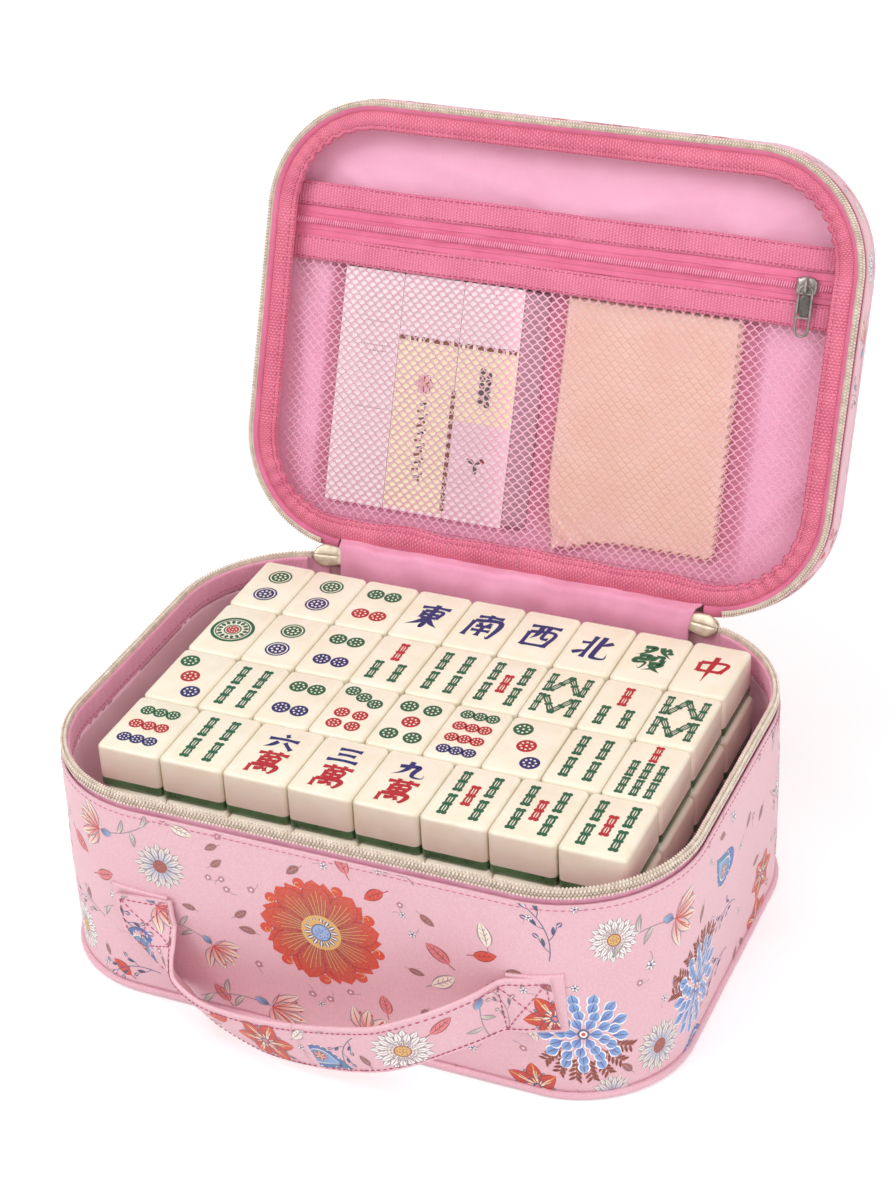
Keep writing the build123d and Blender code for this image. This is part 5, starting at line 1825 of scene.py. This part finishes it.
# ---------------------------------------------------------------- folded cloth
# A peach wiping cloth with pinked edges, folded in half both ways and slipped into the pocket. Its
# lower left corner has been pushed down and is crumpled.

peach = lining_cloth("peach_cloth", srgb(254, 227, 206), srgb(249, 213, 191), 0.0005, slot="peach_cloth")
CLOTH_WIDE, CLOTH_LONG = 0.0880, 0.1165


def fold_share(run, half):
    """How far a point is past the fold, from 0 to 1 within about two millimetres of it."""
    return 0.5 + 0.5 * np.tanh((run - half) / 0.0011)


def pinked(run, along):
    """The zigzag that the shears leave, fading within a few millimetres of the edge."""
    return np.exp(-run / 0.0012) * 0.0009 * np.sin(2 * pi * along / 0.0049)


a, b = np.meshgrid(np.linspace(0, 2 * CLOTH_WIDE, 181), np.linspace(0, 2 * CLOTH_LONG, 241), indexing="ij")
past_a, past_b = fold_share(a, CLOTH_WIDE), fold_share(b, CLOTH_LONG)
layer = past_a * (1 - past_b) + 2 * past_a * past_b + 3 * (1 - past_a) * past_b
x = CLOTH_WIDE - np.sqrt((a - CLOTH_WIDE) ** 2 + 1e-7)
y = CLOTH_LONG - np.sqrt((b - CLOTH_LONG) ** 2 + 1e-7)
teeth_a, teeth_b = pinked(x, b), pinked(y, a)
x = x + 0.0006 * layer / 3 + 0.0003 * np.sin(40 * y + layer) + teeth_a
y = y - 0.0008 * layer / 3 + teeth_b
lift = 0.00095 * layer + 0.00022 * np.sin(70 * x + 50 * y) + 0.00015 * np.sin(130 * x - 40 * y + layer)
near = np.exp(-(((CLOTH_WIDE - x) / 0.022) ** 2 + (y / 0.014) ** 2))
lift = lift + near * (0.0007 * np.sin(900 * x + 350 * y) + 0.0005 * np.sin(620 * y - 500 * x + 1))
x, y = x - 0.0050 * near, y - 0.0075 * near + 0.0010 * near * np.sin(700 * x)
cloth = mesh_piece(
    "wiping_cloth", in_lid(0.0958 - x, 0.0865 - y, 0.0169 - lift), quads_of(181, 241)[:, ::-1], peach, "lid",
    "folded_cloth", 0.0004, spread=grid(a, b),
)


# ---------------------------------------------------------------- sliders and pullers
# Three cast sliders: two plated in champagne stand at the ends of the main zip beside the hinge, and
# a small one in dark nickel is on the pocket. Each is a domed plate with an arch and a puller on it;
# the large ones have a lower plate on a wedge as well.


def plated(name, slot, colour, shade, gloss):
    """Plated zinc: clouded colour and gloss, fine scratches in its surface."""
    finish = Finish(name, slot, Metallic=0.6, Roughness=gloss, Coat_Weight=0.2, Coat_Roughness=0.15)
    where = finish.place()
    cloud = finish.noise(where, 0.003)
    scratch = finish.noise(where, 0.0004, 4.0, 0.7)
    shade = finish.mix(cloud.between(0.35, 0.7), shade, colour)
    return finish.finished(shade, scratch * 0.2 + gloss - 0.05, scratch, 0.00003, 0.4)


champagne_plate = plated("champagne_plate", "champagne_metal", srgb(226, 212, 190), srgb(198, 182, 158), 0.38)
nickel_plate = plated("nickel_plate", "nickel", srgb(176, 170, 164), srgb(128, 122, 116), 0.24)
nickel_shadow = plated("nickel_shadow", "nickel", srgb(112, 108, 102), srgb(84, 80, 76), 0.4)


def metal_leaf(at, axes, long, wide, dome, groove, square=0.0, shield=False):
    """A domed plate: its half width falls to nothing at the ends as a superellipse, or stays broad at
    the near end by the square share; it is a quarter ellipse high across, with a groove down it. A
    shield is broadest past its middle: it rises by a sine from a cut end and falls away to a nose."""
    s, v = np.linspace(-1, 1, 41)[:, None], np.linspace(-1, 1, 25)
    full = (1 - np.abs(s) ** 3.2) ** 0.5
    flat_end = (1 - np.clip(-s, 0, 1) ** 14) ** 0.5 * (1 - 0.16 * np.exp(-(((s + 0.62) / 0.10) ** 2)))
    share = np.where(s < 0, full + (flat_end - full) * square, full)
    if shield:
        rise = 0.72 + 0.28 * np.sin(pi / 2 * np.clip((s + 1) / 1.3, 0, 1))
        share = rise * (1 - 0.86 * np.clip((s - 0.15) / 0.85, 0, 1) ** 1.9)
    high = dome * np.sqrt(np.clip(1 - v**2, 0, 1)) ** 0.7 * (1 - np.abs(s) ** 8)
    high = high - groove * np.exp(-((v / 0.07) ** 2)) * (1 - s**4)
    spots = grid(s * long / 2, v * share * wide / 2, high)
    return np.asarray(at) + spots @ np.asarray(axes), quads_of(41, 25)


def swept(line, radius, out, closed=False, flat=1.0):
    """A rod along a line: a ring of eight points, pressed flat along the outward direction."""
    line = np.asarray(line, float)
    ahead = unit(np.roll(line, -1, 0) - np.roll(line, 1, 0) if closed else np.gradient(line, axis=0))
    side = unit(np.cross(out, ahead))
    up = np.cross(ahead, side)
    turn = np.linspace(0, 2 * pi, 8, endpoint=False)[:, None]
    points = line[:, None] + radius * (side[:, None] * np.cos(turn) + flat * up[:, None] * np.sin(turn))
    return points.reshape(-1, 3), quads_of(len(line), 8, close_rows=closed, close_columns=True)


def loop_line(at, axes, long, wide):
    """A line round a slot: two half circles joined by straights."""
    turn = np.linspace(0, 2 * pi, 40, endpoint=False)
    along = (long - wide) / 2 * np.sign(np.cos(turn)) + wide / 2 * np.cos(turn)
    return np.asarray(at) + grid(along, wide / 2 * np.sin(turn), 0.0) @ np.asarray(axes)


def puller(name, at, axes, long, wide, bright, dark, node):
    """A puller: a bright frame of rod, a dark plate let into its upper part, and an open loop below.
    Its first direction runs down it."""
    (down, across, out), thick = axes, 0.0013
    rods = [swept(loop_line(at, axes, long, wide), thick / 2, out, closed=True, flat=1.1)]
    for place, half in ((0.14, 0.48), (-0.34, 0.45)):
        bar = [at + down * long * place + across * wide * k for k in (-half, 0, half)]
        rods.append(swept(bar, thick * 0.45, out))
    mesh_piece(name, *joined(rods), bright, node, node)
    middle = at - down * long * 0.10 - out * thick * 0.25
    inlay = metal_leaf(middle, axes, long * 0.46, wide * 0.86, thick * 0.4, 0.0)
    mesh_piece(name + "_plate", *inlay, dark, node, thick=thick * 0.6)


def turned(*axes):
    """Three directions as rows, each made length one."""
    return np.stack([unit(np.asarray(axis, float)) for axis in axes])


SLIDER_X, SLIDER_SPLAY, BACKWARDS = 0.1003, radians(9), np.array([0.0, 1.0, 0.0])
arch_turn = np.linspace(0, pi, 13)

for side, name in ((-1, "left"), (1, "right")):
    slide = np.array([side * cos(SLIDER_SPLAY), -sin(SLIDER_SPLAY), 0.0])
    face = unit(np.cross(unit(np.array([0.0, 0.5, 0.87])), slide)) * side
    face = face if face[1] < 0 else -face
    front = metal_leaf(
        np.array([side * SLIDER_X, 0.1090, 0.1118]), turned(slide, np.cross(face, slide), face),
        0.0156, 0.0116, 0.0014, 0.0004, shield=True,
    )
    mesh_piece(f"zip_slider_{name}_face", *front, champagne_plate, "base", f"zip_slider_{name}", 0.0012)
    rear = metal_leaf(
        np.array([side * SLIDER_X, 0.1118, 0.1113]), turned(slide, np.cross(BACKWARDS, slide), BACKWARDS),
        0.0155, 0.0094, 0.0010, 0.0, 0.9,
    )
    mesh_piece(f"zip_slider_{name}_back", *rear, champagne_plate, "base", thick=0.0010)
    wedge = ring_stack(0.0032, 0.0054, 0.0014, rounded_levels(0.0, 0.0036, 0.0002, 0.0002))
    foot = np.array([[side * 0.0995, 0.1085, 0.1112]])
    core = repeat(*wedge, foot, slide, np.array([0.0, 0.0, -side]), BACKWARDS)
    mesh_piece(f"zip_slider_{name}_wedge", *core, champagne_plate, "base")
    arch = grid(side * SLIDER_X, 0.1122 + 0.0026 * np.sin(arch_turn), 0.1105 + 0.0034 * np.cos(arch_turn))
    mesh_piece(f"zip_slider_{name}_arch", *swept(arch, 0.0007, RIGHT), champagne_plate, "base")
    puller(
        f"zip_tag_{name}", np.array([side * 0.1000, 0.1145, 0.0977]), turned((0, 0, -1), RIGHT, BACKWARDS),
        0.0236, 0.0064, champagne_plate, champagne_plate, f"zip_puller_{name}",
    )

POCKET_X = 0.1257
pocket_axes = turned(RIGHT, LID_UP, FRONT)
slider_top = metal_leaf(in_lid(POCKET_X, ZIP_LINE, 0.0096), pocket_axes, 0.0108, 0.0096, 0.0016, 0.0, 0.7)
mesh_piece("pocket_slider_top", *slider_top, nickel_plate, "pocket_slider", "pocket_slider", 0.0012)
arch = in_lid(POCKET_X, ZIP_LINE + 0.0036 * np.cos(arch_turn), 0.0088 - 0.0030 * np.sin(arch_turn))
mesh_piece("pocket_slider_arch", *swept(arch, 0.0008, RIGHT), nickel_plate, "pocket_slider")
puller(
    "pocket_tag", in_lid(POCKET_X, -0.0382, 0.0078), turned(-LID_UP, RIGHT, FRONT),
    0.0238, 0.0066, nickel_plate, nickel_shadow, "pocket_puller",
)


# ---------------------------------------------------------------- studio
# A pale floor that fades to white with distance, under three soft panels. The camera looks from the
# front right and above.

floor_finish = Finish("studio_floor", "foam", Roughness=0.9, Specular_IOR_Level=0.1)
floor_finish.set("Base Color", (0.93, 0.93, 0.935))
rays = "Is Camera Ray", "Is Glossy Ray", "Is Transmission Ray"
seen, mirrored, through = (floor_finish.node("ShaderNodeLightPath", {}, {}, ray) for ray in rays)
away = floor_finish.node("ShaderNodeVectorMath", {"operation": "LENGTH"}, {0: floor_finish.place()}, "Value")
white = floor_finish.mix(away.between(0.6, 2.0), (0.25, 0.25, 0.25), (1.0, 1.0, 1.0))
glow = floor_finish.node("ShaderNodeEmission", {}, {"Color": white, "Strength": seen + mirrored + through})
lit = Socket(floor_finish, floor_finish.surface.outputs[0])
both = floor_finish.node("ShaderNodeAddShader", {}, {0: lit, 1: glow})
out = floor_finish.tree.nodes["Material Output"]
floor_finish.tree.links.new(both.link, out.inputs["Surface"])
FLOOR = 6.0
floor_corners = FLOOR * np.array([(-1, -1, 0), (1, -1, 0), (1, 1, 0), (-1, 1, 0)])
floor = mesh_piece("studio_floor", floor_corners, np.array([[0, 1, 2, 3]]), floor_finish, smooth=False)

world = bpy.data.worlds.new("studio")
bpy.context.scene.world = world
world.use_nodes = True
nodes, links = world.node_tree.nodes, world.node_tree.links
path = nodes.new("ShaderNodeLightPath")
direct = nodes.new("ShaderNodeBackground")
direct.inputs["Color"].default_value = (1, 1, 1, 1)
soft = nodes["Background"]
soft.inputs["Color"].default_value = (1.0, 0.99, 0.985, 1)
soft.inputs["Strength"].default_value = 0.59
pick = nodes.new("ShaderNodeMixShader")
links.new(path.outputs["Is Camera Ray"], pick.inputs[0])
links.new(soft.outputs[0], pick.inputs[1])
links.new(direct.outputs[0], pick.inputs[2])
links.new(pick.outputs[0], nodes["World Output"].inputs["Surface"])


def soft_light(name, spot, target, size, power):
    """A square studio panel facing its target."""
    lamp = bpy.data.lights.new(name, "AREA")
    lamp.shape, lamp.size, lamp.energy = "SQUARE", size, power
    panel = bpy.data.objects.new(name, lamp)
    panel.location = spot
    bpy.context.collection.objects.link(panel)
    direction = np.array(target) - np.array(spot)
    panel.rotation_euler = Vector(direction).to_track_quat("-Z", "Y").to_euler()


soft_light("key", (-0.9, -0.9, 1.5), (0, 0, 0.1), 1.0, 13.8)
soft_light("fill", (1.3, -0.7, 0.9), (0, 0, 0.1), 1.2, 8.5)
soft_light("top", (0.1, 0.3, 1.9), (0, 0, 0.1), 1.4, 7.0)

lens = bpy.data.cameras.new("camera")
lens.sensor_fit, lens.sensor_height, lens.lens = "VERTICAL", 36.0, 77.53
lens.clip_start, lens.clip_end = 0.05, 50.0
camera = bpy.data.objects.new("camera", lens)
EYE = Vector((0.42830, -0.89491, 0.77482))
right, up, ahead = (0.91795, 0.39448, -0.04203), (-0.17328, 0.49402, 0.85201), (-0.35686, 0.77482, -0.52184)
facing = Matrix([right, up, [-share for share in ahead]]).transposed().to_4x4()
camera.matrix_world = Matrix.Translation(EYE) @ facing
bpy.context.collection.objects.link(camera)
bpy.context.scene.camera = camera
bpy.context.scene.view_settings.view_transform = "Standard"
